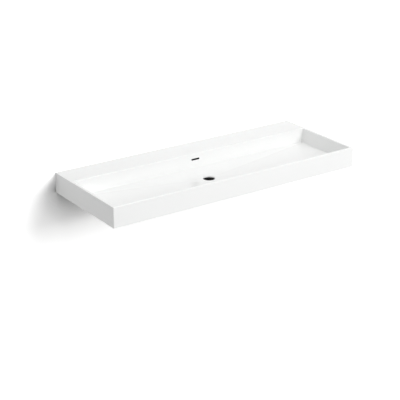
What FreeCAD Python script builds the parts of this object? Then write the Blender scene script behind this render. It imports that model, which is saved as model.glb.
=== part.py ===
"""Wall-hung washbasin: a long, shallow casting on two steel consoles.

Millimetres. X runs along the wall, the wall is the plane Y = 0, the user stands
at -Y and Z is up. The origin lies on the wall, in the middle of the four wall
screws. Heights are named as depths below the top of the rim.
"""
import FreeCAD, Part
import math
import os
import re
import Sketcher
from FreeCAD import Vector

SIZES = {
    # the casting, as it is seen
    "overall_width": 1100.0,
    "overall_depth": 420.0,
    "apron_height": 80.0,
    "rim_width": 11.0,
    "ledge_depth": 119.0,
    "foot_above_edge": 20.5,
    "end_draft": 8.0,
    "long_draft": 2.2,
    "bowl_corner": 6.0,
    "outer_corner": 3.5,
    "rim_round": 2.2,
    "foot_round": 4.0,
    "floor_margin": 0.5,
    "lower_chamfer": 1.2,
    # the dish and the waste hole
    "drain_from_wall": 212.0,
    "dish_radius": 47.0,
    "floor_fall": 13.0,
    "dish_fall": 2.5,
    "bore_radius": 23.0,
    "bore_chamfer": 2.0,
    "boss_below_edge": 3.0,
    # the casting from below
    "floor_thickness": 8.0,
    "skirt_thickness": 12.0,
    "bowl_wall": 9.5,
    "ledge_thickness": 12.0,
    "pad_thickness": 20.0,
    "flange_thickness": 12.0,
    "rib_thickness": 9.0,
    "bay_room": 10.0,
    "service_bay": 160.0,
    # the overflow
    "slot_length": 37.0,
    "slot_height": 7.0,
    "slot_depth": 24.5,
    "seal_thickness": 1.5,
    "inlet_width": 52.0,
    "inlet_height": 36.0,
    "inlet_reach": 20.0,
    "inlet_wall": 2.5,
    "inlet_flange": 9.0,
    "inlet_flange_thickness": 3.0,
    "inlet_round": 3.0,
    "inlet_above_slot": 9.5,
    "duct_width": 44.0,
    "duct_height": 13.0,
    "duct_wall": 2.0,
    "duct_bend": 16.0,
    "duct_seat": 9.0,
    "duct_play": 0.2,
    "screw_radius": 2.0,
    "screw_head": 3.8,
    "screw_head_height": 2.4,
    "screw_length": 10.0,
    "screw_room": 1.0,
    "screw_play": 0.2,
    # the collecting chamber under the floor
    "chamber_radius": 37.0,
    "chamber_wall": 3.0,
    "chamber_flange": 8.0,
    "chamber_flange_thickness": 3.0,
    "chamber_height": 28.0,
    "chamber_base": 5.0,
    "boss_margin": 3.0,
    "port_reach": 14.0,
    "port_wall": 2.5,
    "port_below_top": 13.5,
    # the consoles
    "bracket_from_end": 170.0,
    "bracket_width": 84.0,
    "bracket_depth": 90.0,
    "bracket_height": 56.0,
    "bracket_sheet": 5.0,
    "bracket_bend": 4.0,
    "cheek_nose": 16.0,
    "cheek_toe": 14.0,
    "cushion_thickness": 2.0,
    "cushion_margin": 2.0,
    "wall_screw_line": 54.0,
    "wall_screw_spacing": 26.0,
    "wall_hole_radius": 5.5,
    "bolt_row_near": 34.0,
    "bolt_row_far": 72.0,
    "bolt_radius": 4.0,
    "bolt_length": 20.0,
    "bolt_flats": 13.0,
    "bolt_head_height": 5.3,
    "bolt_play": 0.5,
    "thread_play": 0.05,
    "washer_radius": 8.0,
    "washer_thickness": 1.6,
    "insert_flats": 12.0,
    "insert_length": 12.0,
    # room that every cut runs past its piece
    "overrun": 2.0,
}
# sizes that follow from those above, in the same sheet
DERIVED = {
    "foot_depth": "apron_height - foot_above_edge",
    "dish_depth": "foot_depth + floor_fall",
    "bore_edge_depth": "dish_depth + dish_fall",
    "boss_depth": "apron_height + boss_below_edge",
    "bracket_spacing": "overall_width - 2 * bracket_from_end",
}
# the floor's straight lines fan out at this step, and no closer than this to a corner
FAN_STEP = math.radians(15.0)
FAN_GAP = math.radians(5.0)
# two places closer than this are one
TOUCH = 1e-4

doc = FreeCAD.newDocument("Washbasin")
sheet = doc.addObject("Spreadsheet::Sheet", "Sizes")
for row, (alias, value) in enumerate((SIZES | DERIVED).items(), start=1):
    sheet.set(f"A{row}", alias.replace("_", " "))
    sheet.set(f"B{row}", str(value) if alias in SIZES else f"={value}")
    sheet.setAlias(f"B{row}", alias)
doc.recompute()

NAMES = re.compile(r"\b(" + "|".join(SIZES | DERIVED) + r")\b")


def size(name):
    """The value of one named size, read from the sheet."""
    return float(sheet.get(name))


def formula(text):
    """An expression on the sheet from a formula in named sizes."""
    return NAMES.sub(r"<<Sizes>>.\1", text)


def bind(item, **formulas):
    """Bind properties of an object to the sheet; a double underscore stands for a dot."""
    for name, text in formulas.items():
        item.setExpression(name.replace("__", "."), formula(text))


def depth(text):
    """The height formula of a depth below the rim."""
    return f"wall_screw_line - ({text})"


def new_body(label):
    body = doc.addObject("PartDesign::Body", label)
    body.Label = label
    return body


def new_sketch(body, name, plane, offset="0", shift="0"):
    """A sketch on one of the body's origin planes, moved along its normal and its first axis."""
    sketch = body.newObject("Sketcher::SketchObject", name)
    origin_plane = next(f for f in body.Origin.OriginFeatures if f.Role == plane)
    sketch.AttachmentSupport = [(origin_plane, "")]
    sketch.MapMode = "FlatFace"
    bind(sketch, AttachmentOffset__Base__z=offset, AttachmentOffset__Base__x=shift)
    return sketch


def closed_outline(sketch, points):
    """Straight lines through points, each point held by two formulas from the sketch's origin."""
    values = [Vector(evaluate(x), evaluate(y), 0) for x, y in points]
    first = sketch.GeometryCount
    count = len(points)
    for start, end in zip(values, values[1:] + values[:1]):
        sketch.addGeometry(Part.LineSegment(start, end), False)
    for k, (x, y) in enumerate(points):
        sketch.addConstraint(Sketcher.Constraint("Coincident", first + (k - 1) % count, 2, first + k, 1))
        place_point(sketch, first + k, 1, x, y)


def evaluate(text):
    """The present value of a formula in named sizes."""
    return float(sheet.evalExpression(formula(text)))


def place_point(sketch, geometry, vertex, x, y):
    """Hold one point of a sketch at two formulas."""
    for kind, text in (("DistanceX", x), ("DistanceY", y)):
        value = evaluate(text)
        if text == "0":
            target = -2 if kind == "DistanceX" else -1
            sketch.addConstraint(Sketcher.Constraint("PointOnObject", geometry, vertex, target))
            continue
        number = sketch.addConstraint(Sketcher.Constraint(kind, -1, 1, geometry, vertex, value))
        sketch.setExpression(f"Constraints[{number}]", formula(text))


def rectangle(sketch, left, right, low, high):
    closed_outline(sketch, [(left, low), (right, low), (right, high), (left, high)])


def circle(sketch, x, y, radius):
    centre = Vector(evaluate(x), evaluate(y), 0)
    number = sketch.addGeometry(Part.Circle(centre, Vector(0, 0, 1), evaluate(radius)), False)
    place_point(sketch, number, 3, x, y)
    dimension = sketch.addConstraint(Sketcher.Constraint("Radius", number, evaluate(radius)))
    sketch.setExpression(f"Constraints[{dimension}]", formula(radius))


def pad(body, name, sketch, length, reverse=False, middle=False):
    feature = body.newObject("PartDesign::Pad", name)
    feature.Profile = sketch
    feature.SideType = "Symmetric" if middle else "One side"
    feature.Reversed = reverse
    bind(feature, Length=length)
    return settle(body, feature)


def pocket(body, name, sketch, length, reverse=False):
    before = body.Shape.Volume
    feature = body.newObject("PartDesign::Pocket", name)
    feature.Profile = sketch
    feature.Reversed = reverse
    bind(feature, Length=length)
    settle(body, feature)
    if body.Shape.Volume >= before:
        raise RuntimeError(f"{name} cuts nothing")
    return feature


def settle(body, feature):
    """Make a feature the body's tip and recompute the document."""
    body.Tip = feature
    doc.recompute()
    return feature


def round_edges(body, name, radius, wanted):
    """Fillet the edges of a body for which the test holds."""
    chosen = [f"Edge{k}" for k, edge in enumerate(body.Shape.Edges, start=1) if wanted(edge)]
    if not chosen:
        raise RuntimeError(f"{name} finds no edge")
    feature = body.newObject("PartDesign::Fillet", name)
    feature.Base = (feature.BaseFeature, chosen)
    bind(feature, Radius=radius)
    return settle(body, feature)


def bevel_edges(body, name, width, wanted):
    """Chamfer the edges of a body for which the test holds."""
    chosen = [f"Edge{k}" for k, edge in enumerate(body.Shape.Edges, start=1) if wanted(edge)]
    feature = body.newObject("PartDesign::Chamfer", name)
    feature.Base = (feature.BaseFeature, chosen)
    bind(feature, Size=width)
    return settle(body, feature)


def near(value, text):
    """Whether a coordinate equals the value of a formula."""
    return abs(value - evaluate(text)) < TOUCH


def flat_at(edge, text):
    """Whether an edge lies wholly at one height, given as a depth."""
    box = edge.BoundBox
    height = depth(text)
    return near(box.ZMin, height) and near(box.ZMax, height)


HALF_ROOT = "sqrt(3) / 2"

# places that the casting shares with the pieces screwed to it
INLET_SCREW_X = "(inlet_width + inlet_flange) / 2"
INLET_SCREW_Z = depth("slot_depth - inlet_above_slot + inlet_height / 2")
SCREW_CIRCLE = "(chamber_radius + chamber_wall + chamber_flange / 2)"
CHAMBER_TOP = depth("boss_depth + seal_thickness")
PORT_Z = f"({CHAMBER_TOP} - port_below_top)"
DUCT_TOP = depth("slot_depth - inlet_above_slot + inlet_height - duct_seat")
DUCT_Y = "(-(ledge_depth - bowl_wall - seal_thickness) + inlet_reach / 2)"
BOLT_SEAT_Z = depth("pad_thickness + cushion_thickness + bracket_sheet + washer_thickness")
HEXAGON = [(f"cos({turn * 60} deg)", f"sin({turn * 60} deg)") for turn in range(6)]
BOLT_PLACES = [
    (f"{side} * bracket_spacing / 2", f"-{row}")
    for side in ("-1", "1")
    for row in ("bolt_row_near", "bolt_row_far")
]
CHAMBER_SCREWS = [
    ("0", f"-drain_from_wall - {SCREW_CIRCLE}"),
    (f"-{SCREW_CIRCLE} * {HALF_ROOT}", f"{SCREW_CIRCLE} / 2 - drain_from_wall"),
    (f"{SCREW_CIRCLE} * {HALF_ROOT}", f"{SCREW_CIRCLE} / 2 - drain_from_wall"),
]


def fan_points(half_width, back, front, corner):
    """Break points of a rounded rectangle seen from the waste hole, anticlockwise.

    Each side is cut where lines fan out from the hole every few degrees. Gives every
    break point with the middle of the arc that starts there, if one does.
    """
    centre = Vector(0, -size("drain_from_wall"), 0)
    arcs = []
    for sx, y, sy in ((1, front, -1), (1, back, 1), (-1, back, 1), (-1, front, -1)):
        middle = Vector(sx * (half_width - corner), y - sy * corner, 0)
        along = Vector(sx * corner, 0, 0)
        across = Vector(0, sy * corner, 0)
        ends = (middle + across, middle + along) if sx * sy < 0 else (middle + along, middle + across)
        diagonal = (along + across).normalize() * corner
        arcs.append((ends[0], middle + diagonal, ends[1]))
    breaks = []
    for k, (start, middle, end) in enumerate(arcs):
        breaks.append((start, middle))
        breaks.append((end, None))
        breaks.extend((point, None) for point in fan_cuts(centre, end, arcs[(k + 1) % 4][0]))
    return breaks


def fan_cuts(centre, start, end):
    """Points of a straight side that lie on the fan's lines, away from the side's ends."""
    first = bearing(centre, start)
    last = bearing(centre, end)
    while last < first:
        last += 2 * math.pi
    cuts = []
    step = math.ceil((first + FAN_GAP) / FAN_STEP)
    while step * FAN_STEP < last - FAN_GAP:
        ray = Vector(math.cos(step * FAN_STEP), math.sin(step * FAN_STEP), 0)
        side = end - start
        share = ray.cross(centre - start).z / ray.cross(side).z
        cuts.append(start + side * share)
        step += 1
    return cuts


def bearing(centre, point):
    return math.atan2(point.y - centre.y, point.x - centre.x)


def draw_fan_outline(sketch, breaks):
    """The rounded rectangle itself, in as many pieces as it has break points."""
    for (start, middle), (end, _) in zip(breaks, breaks[1:] + breaks[:1]):
        piece = Part.Arc(start, middle, end) if middle else Part.LineSegment(start, end)
        sketch.addGeometry(piece, False)


def draw_fan_circle(sketch, breaks, radius):
    """A circle round the waste hole, cut at the same bearings."""
    centre = Vector(0, -size("drain_from_wall"), 0)
    angles = [bearing(centre, point) for point, _ in breaks]
    for start, end in zip(angles, angles[1:] + angles[:1]):
        while end < start:
            end += 2 * math.pi
        whole = Part.Circle(centre, Vector(0, 0, 1), radius)
        sketch.addGeometry(Part.ArcOfCircle(whole, start, end), False)


def loft(body, name, kind, upper, lower):
    """A ruled loft between two sketches with equally many pieces."""
    feature = body.newObject("PartDesign::" + kind, name)
    feature.Profile = upper
    feature.Sections = [lower]
    feature.Ruled = True
    return settle(body, feature)


def basin_body():
    body = new_body("basin_body")
    sketch = new_sketch(body, "plan", "XY_Plane", depth("apron_height"))
    rectangle(sketch, "-overall_width / 2", "overall_width / 2", "-overall_depth", "0")
    pad(body, "block", sketch, "apron_height")
    hollow_under_ledge(body)
    hollow_under_floor(body)
    bowl(body)
    waste_hole(body)
    overflow_slot(body)
    fixing_holes(body)
    soften(body)
    return body


def hollow_under_ledge(body):
    """Bays behind the bowl, with ribs and a back flange; the console bays are open to the wall."""
    inner = "(overall_width / 2 - skirt_thickness)"
    bay = "(bracket_width / 2 + bay_room)"
    bowl_back = "-(ledge_depth - bowl_wall)"
    sketch = new_sketch(body, "ledge_bays", "XY_Plane", depth("apron_height"))
    for side in ("-1", "1"):
        outer_x = f"{side} * {inner}"
        rib_x = f"{side} * (bracket_spacing / 2 + {bay} + rib_thickness)"
        rectangle(sketch, outer_x, rib_x, bowl_back, "-flange_thickness")
    middle = f"(bracket_spacing / 2 - {bay} - rib_thickness)"
    closed_outline(sketch, [
        (f"-{middle}", bowl_back),
        (middle, bowl_back),
        (middle, "-flange_thickness"),
        ("service_bay / 2", "-flange_thickness"),
        ("service_bay / 2", "overrun"),
        ("-service_bay / 2", "overrun"),
        ("-service_bay / 2", "-flange_thickness"),
        (f"-{middle}", "-flange_thickness"),
    ])
    pocket(body, "ledge_hollow", sketch, "apron_height - ledge_thickness", reverse=True)
    sketch = new_sketch(body, "console_bays", "XY_Plane", depth("apron_height"))
    for side in ("-1", "1"):
        left = f"{side} * bracket_spacing / 2 - {bay}"
        right = f"{side} * bracket_spacing / 2 + {bay}"
        rectangle(sketch, left, right, bowl_back, "overrun")
    pocket(body, "console_hollow", sketch, "apron_height - pad_thickness", reverse=True)


def hollow_under_floor(body):
    """The open underside, then the belly that carries the floor and the boss of the waste hole."""
    half = "(overall_width / 2 - skirt_thickness)"
    back = "-(ledge_depth - bowl_wall)"
    front = "-(overall_depth - skirt_thickness)"
    sketch = new_sketch(body, "underside", "XY_Plane", depth("apron_height"))
    rectangle(sketch, f"-{half}", half, front, back)
    pocket(body, "floor_hollow", sketch, "apron_height - foot_depth - floor_thickness", reverse=True)
    boss = "(chamber_radius + chamber_wall + chamber_flange + boss_margin)"
    belly = body.newObject("PartDesign::AdditiveWedge", "belly")
    belly.Placement = FreeCAD.Placement(Vector(0, 0, 0), FreeCAD.Rotation(Vector(1, 0, 0), 90))
    bind(
        belly,
        Xmin=f"-({boss} + boss_margin)",
        Xmax=f"{boss} + boss_margin",
        X2min=f"-{half}",
        X2max=half,
        Ymin=depth("dish_depth + floor_thickness"),
        Ymax=depth("foot_depth + floor_thickness"),
        Zmin=f"drain_from_wall - {boss} - boss_margin",
        Zmax=f"drain_from_wall + {boss} + boss_margin",
        Z2min=f"-({back})",
        Z2max=f"-({front})",
    )
    settle(body, belly)
    sketch = new_sketch(body, "boss_circle", "XY_Plane", depth("boss_depth"))
    circle(sketch, "0", "-drain_from_wall", boss)
    pad(body, "boss", sketch, "boss_depth - dish_depth - floor_thickness / 2")


def bowl(body):
    """The drafted bowl, and a floor of straight lines that all fall to a circle round the hole."""
    half = "(overall_width / 2 - rim_width)"
    front = "(overall_depth - rim_width)"
    walls = body.newObject("PartDesign::SubtractiveWedge", "bowl_walls")
    walls.Placement = FreeCAD.Placement(Vector(0, 0, 0), FreeCAD.Rotation(Vector(1, 0, 0), 90))
    bind(
        walls,
        Xmin=f"-{half} + end_draft",
        Xmax=f"{half} - end_draft",
        X2min=f"-{half}",
        X2max=half,
        Ymin=depth("foot_depth"),
        Ymax=depth("0"),
        Zmin="ledge_depth + long_draft",
        Zmax=f"{front} - long_draft",
        Z2min="ledge_depth",
        Z2max=front,
    )
    settle(body, walls)
    top = evaluate(depth("0"))

    def inner_corner(edge):
        box = edge.BoundBox
        inside = abs(box.Center.x) < size("overall_width") / 2 - size("rim_width") / 2
        return inside and box.ZLength > size("foot_depth") / 2 and abs(box.ZMax - top) < TOUCH

    round_edges(body, "bowl_corners", "bowl_corner", inner_corner)
    round_edges(body, "bowl_foot_rounding", "foot_round", lambda edge: flat_at(edge, "foot_depth"))
    inset = size("foot_round") + size("floor_margin")
    floor = fan_points(
        evaluate(half) - size("end_draft") - inset,
        -size("ledge_depth") - size("long_draft") - inset,
        -evaluate(front) + size("long_draft") + inset,
        size("bowl_corner") - size("foot_round"),
    )
    upper = new_sketch(body, "floor_outline", "XY_Plane", depth("foot_depth"))
    draw_fan_outline(upper, floor)
    lower = new_sketch(body, "dish_circle", "XY_Plane", depth("dish_depth"))
    draw_fan_circle(lower, floor, size("dish_radius"))
    loft(body, "bowl_floor", "SubtractiveLoft", upper, lower)


def waste_hole(body):
    """The dish and the plain bore, turned about the axis of the waste."""
    sketch = new_sketch(body, "dish_section", "YZ_Plane", "0", "-drain_from_wall")
    radius = size("bore_radius")
    chamfer = size("bore_chamfer")
    rim_z = evaluate(depth("dish_depth"))
    edge_z = evaluate(depth("bore_edge_depth"))
    low_z = evaluate(depth("boss_depth + overrun"))
    corners = [
        Vector(0, rim_z, 0),
        Vector(size("dish_radius"), rim_z, 0),
        Vector(radius + chamfer, edge_z, 0),
        Vector(radius, edge_z - chamfer, 0),
        Vector(radius, low_z, 0),
        Vector(0, low_z, 0),
    ]
    for start, end in zip(corners, corners[1:] + corners[:1]):
        sketch.addGeometry(Part.LineSegment(start, end), False)
    before = body.Shape.Volume
    feature = body.newObject("PartDesign::Groove", "dish_and_bore")
    feature.Profile = sketch
    feature.ReferenceAxis = (sketch, ["V_Axis"])
    feature.Angle = 360.0
    settle(body, feature)
    if body.Shape.Volume >= before:
        raise RuntimeError("the waste hole cuts nothing")


def overflow_slot(body):
    """The level slot with round ends in the back wall of the bowl."""
    sketch = new_sketch(body, "slot_outline", "XZ_Plane", "ledge_depth - bowl_wall")
    reach = (size("slot_length") - size("slot_height")) / 2
    radius = size("slot_height") / 2
    z = evaluate(depth("slot_depth"))
    for side in (-1, 1):
        level = z + side * radius
        sketch.addGeometry(Part.LineSegment(Vector(-reach, level, 0), Vector(reach, level, 0)), False)
        end = Part.Arc(
            Vector(side * reach, z + radius, 0),
            Vector(side * (reach + radius), z, 0),
            Vector(side * reach, z - radius, 0),
        )
        sketch.addGeometry(end, False)
    pocket(body, "slot", sketch, "bowl_wall + long_draft + overrun", reverse=True)


def fixing_holes(body):
    """Blind holes for the brass inserts, the inlet screws and the chamber screws."""
    sketch = new_sketch(body, "insert_places", "XY_Plane", depth("pad_thickness"))
    reach = "insert_flats / sqrt(3)"
    for x, y in BOLT_PLACES:
        corners = [
            (f"{x} + {reach} * {cosine}", f"{y} + {reach} * {sine}")
            for cosine, sine in HEXAGON
        ]
        closed_outline(sketch, corners)
    pocket(body, "insert_holes", sketch, "insert_length", reverse=True)
    sketch = new_sketch(body, "inlet_screw_places", "XZ_Plane", "ledge_depth - bowl_wall")
    for side in ("-1", "1"):
        circle(sketch, f"{side} * {INLET_SCREW_X}", INLET_SCREW_Z, "screw_radius")
    hole = "screw_length + screw_room - inlet_flange_thickness - seal_thickness"
    pocket(body, "inlet_screw_holes", sketch, hole, reverse=True)
    sketch = new_sketch(body, "chamber_screw_places", "XY_Plane", depth("boss_depth"))
    for x, y in CHAMBER_SCREWS:
        circle(sketch, x, y, "screw_radius")
    hole = "screw_length + screw_room - chamber_flange_thickness - seal_thickness"
    pocket(body, "chamber_screw_holes", sketch, hole, reverse=True)


def soften(body):
    """Roundings of the outer corners and the rims, and the chamfer of the lower edge."""
    half = size("overall_width") / 2
    front = -size("overall_depth")

    def front_upright(edge):
        box = edge.BoundBox
        upright = box.ZLength > size("apron_height") / 2
        return upright and abs(abs(box.Center.x) - half) < TOUCH and abs(box.Center.y - front) < TOUCH

    round_edges(body, "front_corners", "outer_corner", front_upright)

    def top_edge(edge):
        against_wall = edge.BoundBox.YMin > -TOUCH
        return flat_at(edge, "0") and not against_wall

    round_edges(body, "rim_rounding", "rim_round", top_edge)

    def lower_outer(edge):
        box = edge.BoundBox
        outside = box.YMax < front + size("outer_corner") + TOUCH or abs(box.Center.x) > half - TOUCH
        return flat_at(edge, "apron_height") and outside

    bevel_edges(body, "lower_edge", "lower_chamfer", lower_outer)


def overflow_inlet():
    """Moulded box behind the slot: open towards the bowl, with two ears and a socket for the duct."""
    body = new_body("overflow_inlet")
    top = depth("slot_depth - inlet_above_slot")
    base = depth("slot_depth - inlet_above_slot + inlet_height")
    back = "-(ledge_depth - bowl_wall - seal_thickness)"
    sketch = new_sketch(body, "ears", "XZ_Plane", f"-({back})")
    ear = "(inlet_width / 2 + inlet_flange)"
    rectangle(sketch, f"-{ear}", ear, base, top)
    pad(body, "ear_plate", sketch, "inlet_flange_thickness", reverse=True)
    sketch = new_sketch(body, "box_outline", "XZ_Plane", f"-({back})")
    rectangle(sketch, "-inlet_width / 2", "inlet_width / 2", base, top)
    pad(body, "box", sketch, "inlet_reach", reverse=True)
    ridge = size("inlet_width") / 2
    far = evaluate(f"{back} + inlet_reach")

    def back_upright(edge):
        box = edge.BoundBox
        upright = box.ZLength > size("inlet_height") / 2
        return upright and abs(abs(box.Center.x) - ridge) < TOUCH and abs(box.Center.y - far) < TOUCH

    round_edges(body, "box_rounding", "inlet_round", back_upright)
    sketch = new_sketch(body, "chest_outline", "XZ_Plane", f"-({back})")
    inner = "(inlet_width / 2 - inlet_wall)"
    rectangle(sketch, f"-{inner}", inner, f"{base} + duct_seat", f"{top} - inlet_wall")
    pocket(body, "chest", sketch, "inlet_reach - inlet_wall")
    sketch = new_sketch(body, "socket_outline", "XY_Plane", base)
    half = "(duct_width / 2 + duct_play)"
    deep = "(duct_height / 2 + duct_play)"
    rectangle(sketch, f"-{half}", half, f"{DUCT_Y} - {deep}", f"{DUCT_Y} + {deep}")
    pocket(body, "socket", sketch, "duct_seat + overrun", reverse=True)
    sketch = new_sketch(body, "ear_hole_places", "XZ_Plane", f"-({back})")
    for side in ("-1", "1"):
        circle(sketch, f"{side} * {INLET_SCREW_X}", INLET_SCREW_Z, "screw_radius + screw_play")
    pocket(body, "ear_holes", sketch, "inlet_flange_thickness")
    return body


def overflow_inlet_seal():
    """Flat gasket frame between the inlet's box and the back of the bowl, inside the two screws."""
    body = new_body("overflow_inlet_seal")
    top = depth("slot_depth - inlet_above_slot")
    base = depth("slot_depth - inlet_above_slot + inlet_height")
    sketch = new_sketch(body, "frame_outline", "XZ_Plane", "ledge_depth - bowl_wall")
    inner = "(inlet_width / 2 - inlet_wall)"
    rectangle(sketch, "-inlet_width / 2", "inlet_width / 2", base, top)
    rectangle(sketch, f"-{inner}", inner, f"{base} + duct_seat", f"{top} - inlet_wall")
    pad(body, "frame", sketch, "seal_thickness", reverse=True)
    return body


def overflow_duct():
    """Flat pipe with blunted corners, swept down behind the bowl and forward under its floor."""
    body = new_body("overflow_duct")
    top_z = evaluate(DUCT_TOP)
    low_z = evaluate(PORT_Z)
    y = evaluate(DUCT_Y)
    bend = size("duct_bend")
    mouth_y = evaluate("-drain_from_wall + chamber_radius + chamber_wall + port_reach - duct_seat")
    route = new_sketch(body, "route", "YZ_Plane")
    centre = Vector(y - bend, low_z + bend, 0)
    half_turn = Vector(math.sqrt(0.5), -math.sqrt(0.5), 0) * bend
    route.addGeometry(Part.LineSegment(Vector(y, top_z, 0), Vector(y, low_z + bend, 0)), False)
    bow = Part.Arc(Vector(y, low_z + bend, 0), centre + half_turn, Vector(y - bend, low_z, 0))
    route.addGeometry(bow, False)
    route.addGeometry(Part.LineSegment(Vector(y - bend, low_z, 0), Vector(mouth_y, low_z, 0)), False)
    outside = new_sketch(body, "duct_outline", "XY_Plane", DUCT_TOP)
    wall = "duct_wall"
    half = "duct_width / 2"
    tall = "duct_height / 2"
    closed_outline(outside, [
        (f"{half} - {wall}", f"{DUCT_Y} - {tall}"),
        (half, f"{DUCT_Y} - {tall} + {wall}"),
        (half, f"{DUCT_Y} + {tall} - {wall}"),
        (f"{half} - {wall}", f"{DUCT_Y} + {tall}"),
        (f"-({half} - {wall})", f"{DUCT_Y} + {tall}"),
        (f"-{half}", f"{DUCT_Y} + {tall} - {wall}"),
        (f"-{half}", f"{DUCT_Y} - {tall} + {wall}"),
        (f"-({half} - {wall})", f"{DUCT_Y} - {tall}"),
    ])
    tube(body, "duct_solid", "AdditivePipe", outside, route)
    inside = new_sketch(body, "duct_bore_outline", "XY_Plane", DUCT_TOP)
    rectangle(
        inside,
        f"-({half} - {wall})",
        f"{half} - {wall}",
        f"{DUCT_Y} - ({tall} - {wall})",
        f"{DUCT_Y} + ({tall} - {wall})",
    )
    tube(body, "duct_bore", "SubtractivePipe", inside, route)
    return body


def tube(body, name, kind, section, route):
    """Sweep a section along the route, keeping its long side level."""
    feature = body.newObject("PartDesign::" + kind, name)
    feature.Profile = section
    feature.Spine = route
    return settle(body, feature)


def drain_chamber():
    """Ring chamber under the boss, turned about the waste axis, with a port towards the wall."""
    body = new_body("drain_chamber")
    inner = size("chamber_radius")
    outer = inner + size("chamber_wall")
    rim = outer + size("chamber_flange")
    top = evaluate(CHAMBER_TOP)
    ledge = top - size("chamber_flange_thickness")
    base = top - size("chamber_height")
    floor = base + size("chamber_base")
    profile = [(0, base), (outer, base), (outer, ledge), (rim, ledge), (rim, top), (0, top)]
    turn(body, "pot", "Revolution", profile)
    sketch = new_sketch(body, "port_outline", "XZ_Plane", "drain_from_wall")
    half = "(duct_width / 2 + duct_play + port_wall)"
    tall = "(duct_height / 2 + duct_play + port_wall)"
    rectangle(sketch, f"-{half}", half, f"{PORT_Z} - {tall}", f"{PORT_Z} + {tall}")
    pad(body, "port", sketch, "chamber_radius + chamber_wall + port_reach", reverse=True)
    over = size("overrun")
    turn(body, "well", "Groove", [(0, floor), (inner, floor), (inner, top + over), (0, top + over)])
    sketch = new_sketch(body, "waste_outline", "XY_Plane", CHAMBER_TOP)
    circle(sketch, "0", "-drain_from_wall", "bore_radius")
    pocket(body, "waste_bore", sketch, "chamber_height + overrun")
    sketch = new_sketch(body, "port_bore_outline", "XZ_Plane",
                        "drain_from_wall - chamber_radius - chamber_wall - port_reach")
    half = "(duct_width / 2 + duct_play)"
    tall = "(duct_height / 2 + duct_play)"
    rectangle(sketch, f"-{half}", half, f"{PORT_Z} - {tall}", f"{PORT_Z} + {tall}")
    pocket(body, "port_bore", sketch, "port_reach + chamber_wall + chamber_radius / 2", reverse=True)
    sketch = new_sketch(body, "flange_hole_places", "XY_Plane", CHAMBER_TOP)
    for x, y in CHAMBER_SCREWS:
        circle(sketch, x, y, "screw_radius + screw_play")
    pocket(body, "flange_holes", sketch, "chamber_flange_thickness")
    return body


def turn(body, name, kind, profile):
    """Turn a profile of (radius, height) points about the waste axis."""
    sketch = new_sketch(body, name + "_section", "YZ_Plane", "0", "-drain_from_wall")
    points = [Vector(radius, height, 0) for radius, height in profile]
    for start, end in zip(points, points[1:] + points[:1]):
        sketch.addGeometry(Part.LineSegment(start, end), False)
    feature = body.newObject("PartDesign::" + kind, name)
    feature.Profile = sketch
    feature.ReferenceAxis = (sketch, ["V_Axis"])
    feature.Angle = 360.0
    return settle(body, feature)


def drain_chamber_seal():
    """Flat ring between the chamber's wall and the boss, inside the three screws."""
    body = new_body("drain_chamber_seal")
    sketch = new_sketch(body, "ring_outline", "XY_Plane", CHAMBER_TOP)
    circle(sketch, "0", "-drain_from_wall", "chamber_radius + chamber_wall")
    circle(sketch, "0", "-drain_from_wall", "chamber_radius")
    pad(body, "ring", sketch, "seal_thickness")
    return body


def wall_bracket(label, side):
    """Console folded from sheet: wall plate, seat under the ledge and two cheeks."""
    body = new_body(label)
    top = depth("pad_thickness + cushion_thickness")
    base = f"({top} - bracket_height)"
    sketch = new_sketch(body, "fold", "YZ_Plane")
    closed_outline(sketch, [
        ("0", base),
        ("0", top),
        ("-bracket_depth", top),
        ("-bracket_depth", f"{top} - bracket_sheet"),
        ("-bracket_sheet", f"{top} - bracket_sheet"),
        ("-bracket_sheet", base),
    ])
    pad(body, "plate_and_seat", sketch, "bracket_width", middle=True)
    sheet_thickness = size("bracket_sheet")
    top_z = evaluate(top)

    def along_fold(edge, inward):
        box = edge.BoundBox
        level = abs(box.Center.z - top_z + inward) < TOUCH
        return box.XLength > sheet_thickness and level and abs(box.Center.y + inward) < TOUCH

    round_edges(body, "outer_bend", "bracket_bend + bracket_sheet", lambda edge: along_fold(edge, 0))
    round_edges(body, "inner_bend", "bracket_bend", lambda edge: along_fold(edge, sheet_thickness))
    sketch = new_sketch(body, "cheek_outline", "YZ_Plane", "bracket_width / 2 - bracket_sheet")
    closed_outline(sketch, [
        ("-bracket_sheet", base),
        ("-bracket_sheet", f"{top} - bracket_sheet"),
        ("-bracket_depth", f"{top} - bracket_sheet"),
        ("-bracket_depth", f"{top} - cheek_nose"),
        ("-cheek_toe", base),
    ])
    cheek = pad(body, "cheek", sketch, "bracket_sheet")
    mirror = body.newObject("PartDesign::Mirrored", "other_cheek")
    mirror.Originals = [cheek]
    middle = next(f for f in body.Origin.OriginFeatures if f.Role == "YZ_Plane")
    mirror.MirrorPlane = (middle, [""])
    settle(body, mirror)
    sketch = new_sketch(body, "wall_hole_places", "XZ_Plane")
    for way in ("-1", "1"):
        circle(sketch, "0", f"{way} * wall_screw_spacing / 2", "wall_hole_radius")
    pocket(body, "wall_holes", sketch, "bracket_sheet + overrun", reverse=True)
    sketch = new_sketch(body, "seat_hole_places", "XY_Plane", top)
    for row in ("bolt_row_near", "bolt_row_far"):
        circle(sketch, "0", f"-{row}", "bolt_radius + bolt_play")
    pocket(body, "seat_holes", sketch, "bracket_sheet + overrun")
    bind(body, Placement__Base__x=f"{side} * bracket_spacing / 2")
    return body


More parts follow.
